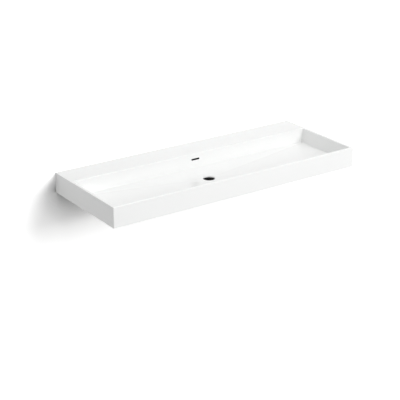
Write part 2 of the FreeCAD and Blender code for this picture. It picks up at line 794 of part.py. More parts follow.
def bracket_cushion(label, side):
    """Rubber sheet between a console's seat and the casting."""
    body = new_body(label)
    sketch = new_sketch(body, "sheet_outline", "XY_Plane", depth("pad_thickness + cushion_thickness"))
    half = "(bracket_width / 2 - cushion_margin)"
    front = "-(bracket_depth - cushion_margin)"
    rectangle(sketch, f"-{half}", half, front, "-(bracket_bend + bracket_sheet)")
    for row in ("bolt_row_near", "bolt_row_far"):
        circle(sketch, "0", f"-{row}", "bolt_radius + bolt_play")
    pad(body, "sheet", sketch, "cushion_thickness")
    bind(body, Placement__Base__x=f"{side} * bracket_spacing / 2")
    return body


def cylinder(name, radius, length, x="0", y="0", z="0"):
    item = doc.addObject("Part::Cylinder", name)
    bind(item, Radius=radius, Height=length)
    bind(item, Placement__Base__x=x, Placement__Base__y=y, Placement__Base__z=z)
    return item


def cut(name, base, tool):
    item = doc.addObject("Part::Cut", name)
    item.Base = base
    item.Tool = tool
    return item


def fuse(name, *parts):
    item = doc.addObject("Part::MultiFuse", name)
    item.Shapes = list(parts)
    item.Refine = False
    return item


def group(label, members):
    """Identical fasteners as separate solids of one node."""
    item = doc.addObject("Part::Compound", label)
    item.Label = label
    item.Links = members
    return item


def hexagon(name, flats, height, x, y, z):
    """A six-sided bar given by its width across the flats."""
    bar = doc.addObject("Part::Prism", name)
    bar.Polygon = 6
    bind(bar, Circumradius=f"{flats} / sqrt(3)", Height=height,
         Placement__Base__x=x, Placement__Base__y=y, Placement__Base__z=z)
    return bar


def threaded_inserts():
    """Hexagonal brass bushes cast into the ledge."""
    members = []
    for number, (x, y) in enumerate(BOLT_PLACES, start=1):
        low = depth("pad_thickness")
        bush = hexagon(f"insert_{number}", "insert_flats", "insert_length", x, y, low)
        length = "insert_length + overrun"
        bore = cylinder(f"insert_bore_{number}", "bolt_radius + thread_play", length, x, y, low)
        members.append(cut(f"insert_bush_{number}", bush, bore))
    return group("threaded_inserts", members)


def bracket_bolts():
    """Hexagon bolts that go up through washer, seat and cushion into the inserts."""
    members = []
    for number, (x, y) in enumerate(BOLT_PLACES, start=1):
        shank = cylinder(f"bolt_shank_{number}", "bolt_radius", "bolt_length", x, y, BOLT_SEAT_Z)
        low = f"{BOLT_SEAT_Z} - bolt_head_height"
        head = hexagon(f"bolt_head_{number}", "bolt_flats", "bolt_head_height", x, y, low)
        members.append(fuse(f"bolt_{number}", head, shank))
    return group("bracket_bolts", members)


def bracket_washers():
    members = []
    for number, (x, y) in enumerate(BOLT_PLACES, start=1):
        disc = cylinder(f"washer_disc_{number}", "washer_radius", "washer_thickness", x, y, BOLT_SEAT_Z)
        height = "washer_thickness + overrun"
        hole = cylinder(f"washer_hole_{number}", "bolt_radius + bolt_play / 2", height, x, y, BOLT_SEAT_Z)
        members.append(cut(f"washer_{number}", disc, hole))
    return group("bracket_washers", members)


def pan_screw(name, x, y, z, toward_bowl):
    """A screw with a flat round head; its shank points along -Y into the bowl's wall, or up."""
    shank = cylinder(name + "_shank", "screw_radius", "screw_length")
    head = cylinder(name + "_head", "screw_head", "screw_head_height", z="-screw_head_height")
    item = fuse(name, head, shank)
    if toward_bowl:
        item.Placement = FreeCAD.Placement(Vector(0, 0, 0), FreeCAD.Rotation(Vector(1, 0, 0), 90))
    bind(item, Placement__Base__x=x, Placement__Base__y=y, Placement__Base__z=z)
    return item


def inlet_screws():
    y = "-(ledge_depth - bowl_wall - seal_thickness - inlet_flange_thickness)"
    members = [
        pan_screw(f"inlet_screw_{number}", f"{side} * {INLET_SCREW_X}", y, INLET_SCREW_Z, True)
        for number, side in enumerate(("-1", "1"), start=1)
    ]
    return group("inlet_screws", members)


def chamber_screws():
    z = f"{CHAMBER_TOP} - chamber_flange_thickness"
    members = [
        pan_screw(f"chamber_screw_{number}", x, y, z, False)
        for number, (x, y) in enumerate(CHAMBER_SCREWS, start=1)
    ]
    return group("chamber_screws", members)


def sound(item):
    """Whether an object and its shape are without fault."""
    failed = "Invalid" in item.State or "Error" in item.State
    return not failed and not item.Shape.isNull() and item.Shape.isValid()


def export(nodes):
    """Check every object and every sub-part, then write one file for each."""
    for item in doc.Objects:
        if "Invalid" in item.State or "Error" in item.State:
            raise RuntimeError(f"{item.Name} failed: {item.State}")
    for node in nodes:
        if not sound(node):
            raise RuntimeError(f"{node.Label} has a bad shape")
    os.makedirs("parts", exist_ok=True)
    for node in nodes:
        node.Shape.exportStep(f"parts/{node.Label}.step")
        print(node.Label, len(node.Shape.Solids), round(node.Shape.Volume))


def build():
    nodes = [
        basin_body(),
        overflow_inlet(),
        overflow_inlet_seal(),
        overflow_duct(),
        drain_chamber(),
        drain_chamber_seal(),
        wall_bracket("wall_bracket_left", "-1"),
        wall_bracket("wall_bracket_right", "1"),
        bracket_cushion("bracket_cushion_left", "-1"),
        bracket_cushion("bracket_cushion_right", "1"),
        threaded_inserts(),
        bracket_bolts(),
        bracket_washers(),
        inlet_screws(),
        chamber_screws(),
    ]
    doc.recompute()
    export(nodes)


build()
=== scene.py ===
"""Dresses a wall-hung washbasin: the casting, its overflow, its consoles and their fasteners.

Metres. X runs along the wall, the wall is the plane Y = 0 and Z is up. Pieces are
made in the place where the solid model has them.
"""

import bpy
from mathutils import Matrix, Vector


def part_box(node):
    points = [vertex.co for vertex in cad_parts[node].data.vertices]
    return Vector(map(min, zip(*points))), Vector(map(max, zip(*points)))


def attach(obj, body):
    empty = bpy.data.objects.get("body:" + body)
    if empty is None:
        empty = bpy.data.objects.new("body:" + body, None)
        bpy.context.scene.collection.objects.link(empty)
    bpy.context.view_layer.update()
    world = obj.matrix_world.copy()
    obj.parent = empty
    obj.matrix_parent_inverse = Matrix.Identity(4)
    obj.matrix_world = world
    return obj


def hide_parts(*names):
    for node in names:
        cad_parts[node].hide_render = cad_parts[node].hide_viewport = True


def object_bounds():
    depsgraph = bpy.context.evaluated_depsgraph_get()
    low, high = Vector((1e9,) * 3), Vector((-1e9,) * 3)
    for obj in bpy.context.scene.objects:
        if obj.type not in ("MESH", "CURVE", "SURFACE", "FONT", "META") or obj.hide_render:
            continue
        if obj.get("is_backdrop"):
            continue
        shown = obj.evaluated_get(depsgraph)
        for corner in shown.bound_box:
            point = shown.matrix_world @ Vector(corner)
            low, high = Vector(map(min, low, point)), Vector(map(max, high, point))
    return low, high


bl_info = {
    "name": "Wall-hung washbasin",
    "version": (1, 0, 0),
    "blender": (4, 5, 0),
    "location": "3D View > Sidebar > Washbasin",
    "description": "Builds the visible pieces of a wall-hung washbasin and a studio for it",
    "category": "Object",
}

import math

import bmesh
import bpy
from bpy.props import FloatProperty, FloatVectorProperty, IntProperty, PointerProperty
from mathutils import Vector

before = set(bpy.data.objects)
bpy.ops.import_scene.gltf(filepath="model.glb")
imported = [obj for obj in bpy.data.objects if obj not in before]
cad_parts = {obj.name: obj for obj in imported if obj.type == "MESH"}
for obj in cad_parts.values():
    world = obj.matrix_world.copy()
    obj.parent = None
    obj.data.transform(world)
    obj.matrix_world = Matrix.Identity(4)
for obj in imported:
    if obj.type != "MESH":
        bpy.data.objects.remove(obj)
CAD_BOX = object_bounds()
MM = 0.001
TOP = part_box("basin_body")[1].z

# points closer than this are one point
MERGE = 1e-6

# how far a cutter reaches past what it cuts, and into a face whose plane it would end in
PAST = 10 * MM
BITE = 0.05 * MM

# how finely the casting is drawn
CORNER_STEPS = 6
LONG_STEPS = 48
END_STEPS = 12
FAN_RINGS = 9
RIM_STEPS = 5
FOOT_STEPS = 6
LIP_STEPS = 5
SLOT_STEPS = 16
DISH_SHARES = (0.0, 0.12, 0.5, 0.88, 1.0)

# the casting's material slots; the third paints shade black inside the waste hole and the slot
WHITE = 0
BARE = 1
SHADE_BLACK = 2


def length(name, description, default):
    """A size in metres."""
    return FloatProperty(name=name, description=description, default=default, min=0.0, precision=4,
                         unit="LENGTH", subtype="DISTANCE")


def colour(name, description, default):
    return FloatVectorProperty(name=name, description=description, default=default, size=3,
                               min=0.0, max=1.0, subtype="COLOR")


def share(name, description, default, top=1.0):
    return FloatProperty(name=name, description=description, default=default, min=0.0, max=top,
                         precision=3, subtype="FACTOR")


def watts(name, description, default):
    """The power of a lamp in watts."""
    return FloatProperty(name=name, description=description, default=default, min=0.0, unit="POWER")


def tilt(name, description, degrees):
    """An angle whose default is given in degrees."""
    return FloatProperty(name=name, description=description, default=math.radians(degrees),
                         unit="ROTATION", subtype="ANGLE")


class CastingSizes(bpy.types.PropertyGroup):
    """The casting as it is seen, and the hollows below it."""

    width: length("Width", "Along the wall", 1.1)
    reach: length("Reach", "From the wall to the front", 0.42)
    height: length("Height", "Height of the front", 0.08)
    rim: length("Rim", "Width of the rim at the front and the ends", 0.011)
    ledge: length("Ledge", "Width of the ledge along the wall", 0.119)
    foot_depth: length("Foot depth", "From the rim down to where the walls meet the floor", 0.0595)
    end_lean: length("End lean", "How far an end wall runs in on its way down", 0.008)
    long_lean: length("Long lean", "How far a long wall runs in on its way down", 0.0022)
    bowl_corner: length("Bowl corner", "Radius of the bowl's upright corners", 0.006)
    outer_corner: length("Outer corner", "Radius of the front's upright corners", 0.0035)
    rim_round: length("Rim rounding", "Radius along the rim's edges", 0.0022)
    foot_round: length("Foot rounding", "Radius between walls and floor", 0.004)
    floor_margin: length("Floor margin", "Level strip inside the foot rounding", 0.0005)
    lower_chamfer: length("Lower chamfer", "Chamfer along the lower outer edge", 0.0012)
    waste_place: length("Waste hole", "From the wall to the middle of the waste hole", 0.212)
    dish_radius: length("Dish radius", "Radius of the dish round the waste hole", 0.047)
    dish_depth: length("Dish depth", "From the rim down to the dish's edge", 0.0725)
    bore_depth: length("Bore depth", "From the rim down to the waste hole's edge", 0.075)
    bore_radius: length("Bore radius", "Radius of the waste hole", 0.023)
    bore_round: length("Bore rounding", "Radius along the waste hole's edge", 0.002)
    # below this depth the waste hole's wall is painted black as shade
    bore_shade_start: length("Bore coat", "How far the white coat runs down into the waste hole", 0.005)
    boss_depth: length("Boss depth", "From the rim down to the boss's seat", 0.083)
    boss_radius: length("Boss radius", "Radius of the boss below the waste hole", 0.05)
    boss_land: length("Boss land", "Half side of the level square round the boss", 0.053)
    floor: length("Floor", "Thickness of the floor", 0.008)
    skirt: length("Skirt", "Thickness of the front and the ends", 0.012)
    back_plane: length("Back plane", "From the wall to the back of the bowl's wall", 0.1095)
    ledge_thickness: length("Ledge thickness", "Thickness of the ledge above the bays", 0.012)
    pad_thickness: length("Pad thickness", "Thickness of the ledge above a console", 0.02)
    flange: length("Flange", "Thickness of the flange along the wall", 0.012)
    console_bay: length("Console bay", "Width of the bay round a console", 0.104)
    rib: length("Rib", "Thickness of the rib beside a console's bay", 0.009)
    service_bay: length("Service bay", "Width of the opening for pipes in the flange", 0.16)
    insert_flats: length("Insert flats", "Hole of a threaded insert across the flats", 0.012)
    insert_depth: length("Insert depth", "Depth of a threaded insert's hole", 0.012)
    slot_length: length("Slot length", "Length of the overflow slot", 0.037)
    slot_height: length("Slot height", "Height of the overflow slot", 0.007)
    slot_depth: length("Slot depth", "From the rim down to the slot's middle", 0.0245)
    slot_round: length("Slot rounding", "How far the slot's mouth widens", 0.0007)


class FastenerSizes(bpy.types.PropertyGroup):
    """Bolts, washers, screws and the duct."""

    console_place: length("Console place", "From the middle to a console's middle", 0.38)
    near_row: length("Near row", "From the wall to the near row of bolts", 0.034)
    far_row: length("Far row", "From the wall to the far row of bolts", 0.072)
    bolt_flats: length("Bolt flats", "Bolt head across the flats", 0.013)
    bolt_head: length("Bolt head", "Height of a bolt's head", 0.0053)
    bolt_radius: length("Bolt radius", "Radius of a bolt over its thread", 0.004)
    bolt_length: length("Bolt length", "Length of a bolt below its head", 0.02)
    bolt_pitch: length("Bolt pitch", "Distance from thread to thread", 0.00125)
    washer_radius: length("Washer radius", "Radius of a washer", 0.008)
    washer_bore: length("Washer bore", "Radius of a washer's hole", 0.00425)
    washer_thickness: length("Washer thickness", "Thickness of a washer", 0.0016)
    screw_head: length("Screw head", "Radius of a small screw's head", 0.0038)
    screw_head_height: length("Screw head height", "Height of a small screw's head", 0.0024)
    screw_radius: length("Screw radius", "Radius of a small screw over its thread", 0.002)
    screw_length: length("Screw length", "Length of a small screw below its head", 0.01)
    screw_pitch: length("Screw pitch", "Distance from thread to thread", 0.0011)
    screw_circle: length("Screw circle", "Radius on which the chamber's screws stand", 0.044)
    duct_height: length("Duct height", "Height of the flat overflow duct", 0.013)
    duct_bend: length("Duct bend", "Radius of the duct's bend", 0.016)
    duct_wall: length("Duct wall", "Wall of the overflow duct", 0.002)
    duct_corner: length("Duct corner", "Radius of the duct's long edges", 0.0025)
    seed: IntProperty(name="Seed", description="Turns the bolt heads each in its own way", default=7, min=0)


class Finishes(bpy.types.PropertyGroup):
    """Colours and gloss of the pieces."""

    gel: colour("Gel coat", "White gel coat", (0.88, 0.885, 0.88))
    gel_gloss: share("Gel coat roughness", "Roughness of the gel coat", 0.1)
    cast: colour("Cast body", "Bare mineral casting below", (0.68, 0.68, 0.66))
    plastic: colour("Plastic", "Black moulded plastic", (0.014, 0.014, 0.015))
    rubber: colour("Rubber", "Seals and cushions", (0.03, 0.03, 0.031))
    powder: colour("Powder coat", "Grey powder coat of the consoles", (0.33, 0.34, 0.35))
    brass: colour("Brass", "Threaded inserts", (0.72, 0.52, 0.24))
    zinc: colour("Zinc", "Plated screws, bolts and washers", (0.66, 0.68, 0.71))


class StudioSizes(bpy.types.PropertyGroup):
    """Wall, floor and light."""

    floor_drop: length("Floor drop", "From the wall screws down to the floor", 0.85)
    wall_paint: colour("Wall paint", "Matt paint of the wall", (0.9, 0.9, 0.9))
    floor_paint: colour("Floor paint", "Matt paint of the floor", (0.86, 0.86, 0.86))
    wall_white: share("Wall white", "How bright the wall's paint is to the camera", 1.4, 4.0)
    floor_white: share("Floor white", "How bright the floor's paint is to the camera", 1.6, 4.0)
    key_power: watts("Key power", "Power of the large soft light", 126.0)
    key_size: length("Key size", "Side of the large soft light", 1.9)
    key_distance: length("Key distance", "From the basin to the large soft light", 5.0)
    key_turn: tilt("Key turn", "How far to the right the light stands", 16)
    key_rise: tilt("Key rise", "How high the light stands", 24)
    top_power: watts("Top power", "Power of the soft light overhead", 26.0)
    top_size: length("Top size", "Side of the soft light overhead", 2.4)
    top_distance: length("Top distance", "From the basin to the soft light overhead", 3.0)
    top_rise: tilt("Top rise", "How high the soft light overhead stands", 72)
    ambient: share("Ambient", "Light from all sides", 0.33, 2.0)


def scene_settings(context):
    scene = context.scene
    return scene.casting_sizes, scene.fastener_sizes, scene.finishes, scene.studio_sizes


# Node helpers

def wire(tree, node, inputs):
    """Set a node's inputs to numbers or colours, or link them from nodes or sockets, alone or in a list."""
    for key, value in inputs.items():
        socket = node.inputs[key]
        sources = value if isinstance(value, list) else [value]
        for source in sources:
            if isinstance(source, bpy.types.Node):
                source = source.outputs[0]
            if isinstance(source, bpy.types.NodeSocket):
                tree.links.new(source, socket)
            else:
                socket.default_value = source


def put(tree, kind, inputs=None, **settings):
    """Add one node with its settings and inputs."""
    node = tree.nodes.new(kind)
    for key, value in settings.items():
        setattr(node, key, value)
    wire(tree, node, inputs or {})
    return node


def calc(tree, operation, first, second):
    """The result of one product, quotient or the like."""
    return put(tree, "ShaderNodeMath", {0: first, 1: second}, operation=operation).outputs[0]


def stretch(tree, value, start, stop, low=0.0, high=1.0):
    """Lay the range from start to stop over the range from low to high."""
    inputs = {"Value": value, "From Min": start, "From Max": stop, "To Min": low, "To Max": high}
    return put(tree, "ShaderNodeMapRange", inputs).outputs["Result"]


def object_place(tree):
    return put(tree, "ShaderNodeTexCoord").outputs["Object"]


def noise(tree, place, scale, detail=2.0, roughness=0.5):
    inputs = {"Vector": place, "Scale": scale, "Detail": detail, "Roughness": roughness}
    return put(tree, "ShaderNodeTexNoise", inputs).outputs["Fac"]


def cells(tree, place, scale):
    """The distance to the nearest of many scattered points."""
    return put(tree, "ShaderNodeTexVoronoi", {"Vector": place, "Scale": scale}).outputs["Distance"]


# the middle part of a noise pattern, where most of its values lie
MIDDLE = (0.3, 0.7)


def tint(tree, fac, first, second):
    """Two colours laid over a pattern's middle part."""
    ramp = put(tree, "ShaderNodeValToRGB", {"Fac": fac})
    for element, position, shown in zip(ramp.color_ramp.elements, MIDDLE, (first, second)):
        element.position = position
        element.color = (*shown, 1.0)
    return ramp.outputs["Color"]


def relief(tree, height, strength, depth):
    return put(tree, "ShaderNodeBump", {"Height": height, "Strength": strength, "Distance": depth})


def shade(base, factor):
    return tuple(min(1.0, value * factor) for value in base)


# Finishes

def blank_material(name):
    """A material with one Principled shader."""
    material = bpy.data.materials.new(name)
    material.use_nodes = True
    tree = material.node_tree
    return material, tree, tree.nodes["Principled BSDF"]


def surface(name, base, spread, cloud, rough, grain, bump, **settings):
    """A finish: cloudy colour, changing roughness and a fine grain in relief.

    spread is the change of colour, cloud the scale of its clouds, rough the lowest and
    highest roughness, grain the scale of the relief and bump its strength and depth.
    The settings are constant values on the shader's own sockets.
    """
    material, tree, shader = blank_material(name)
    place = object_place(tree)
    clouds = noise(tree, place, cloud, detail=3.0)
    smears = noise(tree, place, cloud * 4, detail=4.0, roughness=0.6)
    wire(tree, shader, {
        "Base Color": tint(tree, clouds, shade(base, 1 - spread), shade(base, 1 + spread)),
        "Roughness": stretch(tree, smears, *MIDDLE, *rough),
        "Normal": relief(tree, noise(tree, place, grain), *bump),
        **settings,
    })
    return material


def gel_coat(finishes):
    """Glossy white gel coat with a faint orange peel."""
    gloss = finishes.gel_gloss
    return surface("gel_coat", finishes.gel, spread=0.004, cloud=3.0, rough=(gloss * 0.8, gloss * 1.25),
                   grain=160.0, bump=(0.05, 0.0002), IOR=1.5)


def bare_casting(finishes):
    """The mould's inner side: matt, speckled with mineral grains and pitted by small air bubbles."""
    material, tree, shader = blank_material("bare_casting")
    place = object_place(tree)
    clouds = noise(tree, place, scale=9.0, detail=4.0, roughness=0.6)
    body = tint(tree, clouds, shade(finishes.cast, 0.93), shade(finishes.cast, 1.06))
    grains = cells(tree, place, scale=420.0)
    speckle = stretch(tree, grains, start=0.1, stop=0.35, low=0.86, high=1.0)
    speckled = put(tree, "ShaderNodeMix", {"Factor": 1.0, 6: body, 7: speckle},
                   data_type="RGBA", blend_type="MULTIPLY").outputs[2]
    pits = stretch(tree, cells(tree, place, scale=130.0), start=0.05, stop=0.2)
    height = calc(tree, "ADD", noise(tree, place, scale=45.0, detail=4.0), pits)
    wire(tree, shader, {
        "Base Color": speckled,
        "Roughness": stretch(tree, clouds, *MIDDLE, low=0.5, high=0.72),
        "Normal": relief(tree, height, strength=0.35, depth=0.0006),
        "IOR": 1.5,
    })
    return material


def black_plastic(finishes):
    """Moulded plastic with a fine grain; on the casting it paints shade black inside the waste hole and the
    slot.
    """
    return surface("black_plastic", finishes.plastic, spread=0.15, cloud=40.0, rough=(0.38, 0.5),
                   grain=2200.0, bump=(0.2, 0.00008), IOR=1.49)


def dull_rubber(finishes):
    """The rubber of seals and cushions."""
    return surface("rubber", finishes.rubber, spread=0.2, cloud=60.0, rough=(0.72, 0.88),
                   grain=1500.0, bump=(0.3, 0.0001), IOR=1.52)


def powder_coat(finishes):
    """The consoles' paint with its pebbled skin."""
    return surface("powder_coat", finishes.powder, spread=0.03, cloud=25.0, rough=(0.42, 0.55),
                   grain=1100.0, bump=(0.35, 0.00012), IOR=1.5)


def metal(name, base):
    """Metal with faint smears and fine turning marks."""
    return surface(name, base, spread=0.05, cloud=60.0, rough=(0.22, 0.42), grain=1800.0,
                   bump=(0.12, 0.00005), Metallic=1.0)


def turned_brass(finishes):
    return metal("brass", finishes.brass)


def zinc_plate(finishes):
    return metal("zinc_plate", finishes.zinc)


MADE = {}


def material_for(maker, finishes):
    """Each finish is made once and shared."""
    if maker not in MADE:
        MADE[maker] = maker(finishes)
    return MADE[maker]


# Mesh helpers

def new_object(name, data):
    item = bpy.data.objects.new(name, data)
    bpy.context.scene.collection.objects.link(item)
    return item


def drop_object(item):
    mesh = item.data
    bpy.data.objects.remove(item)
    bpy.data.meshes.remove(mesh)


def plain_mesh(item):
    """Turn an object with modifiers into one with the plain mesh that they give."""
    bpy.context.view_layer.update()
    graph = bpy.context.evaluated_depsgraph_get()
    result = bpy.data.meshes.new_from_object(item.evaluated_get(graph), preserve_all_data_layers=True,
                                             depsgraph=graph)
    item.modifiers.clear()
    old = item.data
    item.data = result
    result.name = item.name
    bpy.data.meshes.remove(old)
    return item


def tidy_mesh(mesh, merge=MERGE, flatten=0.0, outwards=True):
    """Merge doubles, drop what has no area, join faces within an angle and point them all outwards."""
    work = bmesh.new()
    work.from_mesh(mesh)
    bmesh.ops.remove_doubles(work, verts=work.verts, dist=merge)
    bmesh.ops.dissolve_degenerate(work, dist=merge, edges=work.edges)
    if flatten:
        bmesh.ops.dissolve_limit(work, angle_limit=flatten, verts=work.verts, edges=work.edges)
    if outwards:
        bmesh.ops.recalc_face_normals(work, faces=work.faces)
    work.to_mesh(mesh)
    work.free()
    mesh.update()


def soften(item, sharp_from):
    """Smooth shading with edges sharp from an angle in degrees, weighted so that flat faces stay flat."""
    item.data.shade_smooth()
    item.data.set_sharp_from_angle(angle=math.radians(sharp_from))
    weighted = item.modifiers.new("weighted", "WEIGHTED_NORMAL")
    weighted.keep_sharp = True
    weighted.weight = 80
    return plain_mesh(item)


def box_mesh(name, low, high, slot):
    """A closed box in one of the casting's materials, for cutting."""
    work = bmesh.new()
    bmesh.ops.create_cube(work, size=1.0)
    for vertex in work.verts:
        vertex.co = Vector((low[k] + (high[k] - low[k]) * (vertex.co[k] + 0.5) for k in range(3)))
    for face in work.faces:
        face.material_index = slot
    mesh = bpy.data.meshes.new(name)
    work.to_mesh(mesh)
    work.free()
    return mesh


def stacked_rings(name, rings, closed, material):
    """Join rings with equally many points; closed leads from the last ring back to the first."""
    count = len(rings[0])
    points = [point for ring in rings for point in ring]
    faces = []
    marks = []
    last = len(rings) if closed else len(rings) - 1
    for index in range(last):
        low = index * count
        high = (index + 1) % len(rings) * count
        for step in range(count):
            after = (step + 1) % count
            face = (low + step, low + after, high + after, high + step)
            faces.append(face)
            centre = (points[face[0]] + points[face[1]] + points[face[2]] + points[face[3]]) / 4
            marks.append(material(centre, index))
    if not closed:
        faces.append(tuple(reversed(range(count))))
        faces.append(tuple(range((len(rings) - 1) * count, len(rings) * count)))
        marks += [marks[0], marks[-1]]
    mesh = bpy.data.meshes.new(name)
    mesh.from_pydata(points, [], faces)
    mesh.polygons.foreach_set("material_index", marks)
    tidy_mesh(mesh)
    return mesh


def finish_piece(item, node):
    """Hand a finished piece over: it rides on the body and stands for its solids."""
    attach(item, "root")
    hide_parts(node)


# The casting

def edge_rounding(radius, lean, steps):
    """Inset and drop of points on a rounding from the level top into a leaning wall."""
    reach = radius * math.tan(math.pi / 4 - lean / 2)
    turn = math.pi / 2 - lean
    angles = [turn * step / steps for step in range(steps + 1)]
    return [(radius * math.sin(angle) - reach, radius * (1 - math.cos(angle))) for angle in angles]


def foot_rounding(radius, lean, steps):
    """Inset and rise of points on a rounding from a leaning wall into the level foot."""
    return [(-inset, rise) for inset, rise in reversed(edge_rounding(radius, lean, steps))]


def rectangle(half, front, back, corners, heights, shares):
    """Points of a rectangle with round corners, from its front right corner, seen from above.

    corners are the radii in front and at the back, heights those of the ends and of the
    long sides, and shares say where the points lie on the four sides.
    """
    front_radius, back_radius = corners
    middles = [
        (half - front_radius, front + front_radius, front_radius),
        (half - back_radius, back - back_radius, back_radius),
        (-half + back_radius, back - back_radius, back_radius),
        (-half + front_radius, front + front_radius, front_radius),
    ]
    arcs = []
    for index, (x, y, radius) in enumerate(middles):
        arc = []
        for step in range(CORNER_STEPS + 1):
            part = step / CORNER_STEPS
            angle = math.radians(90 * (index - 1 + part))
            toward_end = part if index % 2 == 0 else 1 - part
            height = heights[1] + (heights[0] - heights[1]) * toward_end
            arc.append(Vector((x + radius * math.cos(angle), y + radius * math.sin(angle), height)))
        arcs.append(arc)
    points = []
    for index, arc in enumerate(arcs):
        start = arc[-1]
        end = arcs[(index + 1) % 4][0]
        points += arc + [start.lerp(end, part) for part in shares[index]]
    return points


def bearing(point, centre):
    return math.atan2(point.y - centre.y, point.x - centre.x)


def fan_shares(start, end, centre, steps):
    """Where lines from the waste hole, at equal angles, meet a straight side."""
    first = bearing(start, centre)
    last = bearing(end, centre)
    if last < first:
        last += 2 * math.pi
    side = end - start
    shares = []
    for step in range(1, steps):
        angle = first + (last - first) * step / steps
        ray = Vector((math.cos(angle), math.sin(angle), 0))
        shares.append(ray.cross(centre - start).z / ray.cross(side).z)
    return shares


def circle_at(outline, centre, radius, z):
    """A circle whose points lie at the bearings of an outline's points."""
    angles = [bearing(point, centre) for point in outline]
    return [Vector((centre.x + radius * math.cos(angle), centre.y + radius * math.sin(angle), z))
            for angle in angles]


def casting_rings(size):
    """All rings of the casting, from the boss's seat out, up, in and down through the waste hole.

    The number that comes with them says how many, from the first, lie on the bare underside.
    """
    half = size.width / 2
    front = -size.reach
    centre = Vector((0, -size.waste_place, 0))
    end_lean = math.atan(size.end_lean / size.foot_depth)
    long_lean = math.atan(size.long_lean / size.foot_depth)
    foot = TOP - size.foot_depth
    dish = TOP - size.dish_depth
    margin = size.foot_round + size.floor_margin

    def bowl(end, side, corner, shares):
        """One ring in the bowl; end and side are insets with their heights."""
        return rectangle(half - size.rim - end[0], front + size.rim + side[0], -size.ledge - side[0],
                         (corner, corner), (end[1], side[1]), shares)

    def floor_edge(shares):
        """The ring along the edge of the sloping floor."""
        return bowl((size.end_lean + margin, foot), (size.long_lean + margin, foot),
                    size.bowl_corner - margin, shares)

    # where the lines that fan out from the waste hole meet the four sides
    plain = floor_edge([[0.5]] * 4)
    run = CORNER_STEPS + 2
    starts = [plain[run * k + CORNER_STEPS] for k in range(4)]
    ends = [plain[run * (k + 1) % len(plain)] for k in range(4)]
    steps = (END_STEPS, LONG_STEPS, END_STEPS, LONG_STEPS)
    shares = [fan_shares(a, b, centre, count) for a, b, count in zip(starts, ends, steps)]

    def level(half, front, back, corners, depth):
        """One ring at the same depth all round."""
        return rectangle(half, front, back, corners, (TOP - depth, TOP - depth), shares)

    def hollow(depth):
        """One ring in the hollow below the bowl."""
        return level(half - size.skirt, front + size.skirt, -size.back_plane, (0, 0), depth)

    def outside(inset, depth):
        """One ring round the outside."""
        return level(half - inset, front + inset, 0, (size.outer_corner - inset, 0), depth)

    # the boss, the level square round it and the hollow's ceiling and sides
    under = size.dish_depth + size.floor
    land = level(size.boss_land, centre.y - size.boss_land, centre.y + size.boss_land, (0, 0), under)
    rings = [
        circle_at(land, centre, size.boss_radius, TOP - size.boss_depth),
        circle_at(land, centre, size.boss_radius, TOP - under),
        land,
        hollow(size.foot_depth + size.floor),
        hollow(size.height),
    ]
    raw = len(rings)

    # the outside, up to the rim
    chamfer = size.lower_chamfer
    rings.append(outside(chamfer, size.height))
    rings.append(outside(0, size.height - chamfer))
    for inset, drop in reversed(edge_rounding(size.rim_round, 0, RIM_STEPS)):
        rings.append(outside(-inset, drop))

    # the bowl's walls, with a rounding above and one at their foot
    over_end = edge_rounding(size.rim_round, end_lean, RIM_STEPS)
    over_side = edge_rounding(size.rim_round, long_lean, RIM_STEPS)
    for end, side in zip(over_end, over_side):
        rings.append(bowl((end[0], TOP - end[1]), (side[0], TOP - side[1]),
                          size.bowl_corner - end[0], shares))
    under_end = foot_rounding(size.foot_round, end_lean, FOOT_STEPS)
    under_side = foot_rounding(size.foot_round, long_lean, FOOT_STEPS)
    for end, side in zip(under_end, under_side):
        rings.append(bowl((size.end_lean + end[0], foot + end[1]), (size.long_lean + side[0], foot + side[1]),
                          size.bowl_corner - end[0], shares))

    # the floor of straight lines, fanned out from the dish
    outline = floor_edge(shares)
    edge = circle_at(outline, centre, size.dish_radius, dish)
    for step in range(FAN_RINGS):
        part = step / FAN_RINGS
        rings.append([a.lerp(b, part) for a, b in zip(outline, edge)])

    # the dish, the waste hole's rounded lip and its wall
    lip = size.bore_radius + size.bore_round
    drop = size.bore_depth - size.dish_depth
    for part in DISH_SHARES:
        radius = size.dish_radius + (lip - size.dish_radius) * part
        rings.append(circle_at(outline, centre, radius, dish - drop * part))
    for step in range(1, LIP_STEPS + 1):
        angle = math.pi / 2 * step / LIP_STEPS
        radius = lip - size.bore_round * math.sin(angle)
        depth = size.bore_depth + size.bore_round * (1 - math.cos(angle))
        rings.append(circle_at(outline, centre, radius, TOP - depth))
    # the waste hole's wall is white at first and painted black as shade below
    for depth in (size.bore_depth + size.bore_shade_start, size.boss_depth):
        rings.append(circle_at(outline, centre, size.bore_radius, TOP - depth))
    return rings, raw


# how deep and how wide the slot's mouth is at each step, in shares of its rounding
SLOT_MOUTH = ((-3.0, 1.6), (0.0, 1.0), (0.25, 0.5), (0.6, 0.15), (1.2, 0.0))
# the mouth's first steps stay white; behind them the slot is painted black as shade
WHITE_STEPS = 3


def slot_cutter(size):
    """A level slot with round ends and a widened mouth, painted black as shade behind the mouth's white
    steps.
    """
    reach = (size.slot_length - size.slot_height) / 2
    radius = size.slot_height / 2
    z = TOP - size.slot_depth
    face = -size.ledge - size.long_lean * size.slot_depth / size.foot_depth
    flare = size.slot_round
    stations = [(face + deep * flare, radius + wide * flare) for deep, wide in SLOT_MOUTH]
    stations.append((PAST - size.back_plane, radius))
    rings = []
    for y, around in stations:
        ring = []
        for side in (1, -1):
            for step in range(SLOT_STEPS + 1):
                angle = math.pi * step / SLOT_STEPS - math.pi / 2
                ring.append(Vector((side * (reach + around * math.cos(angle)), y,
                                    z + side * around * math.sin(angle))))
        rings.append(ring)
    return stacked_rings("slot_cutter", rings, False,
                         lambda centre, index: WHITE if index < WHITE_STEPS else SHADE_BLACK)


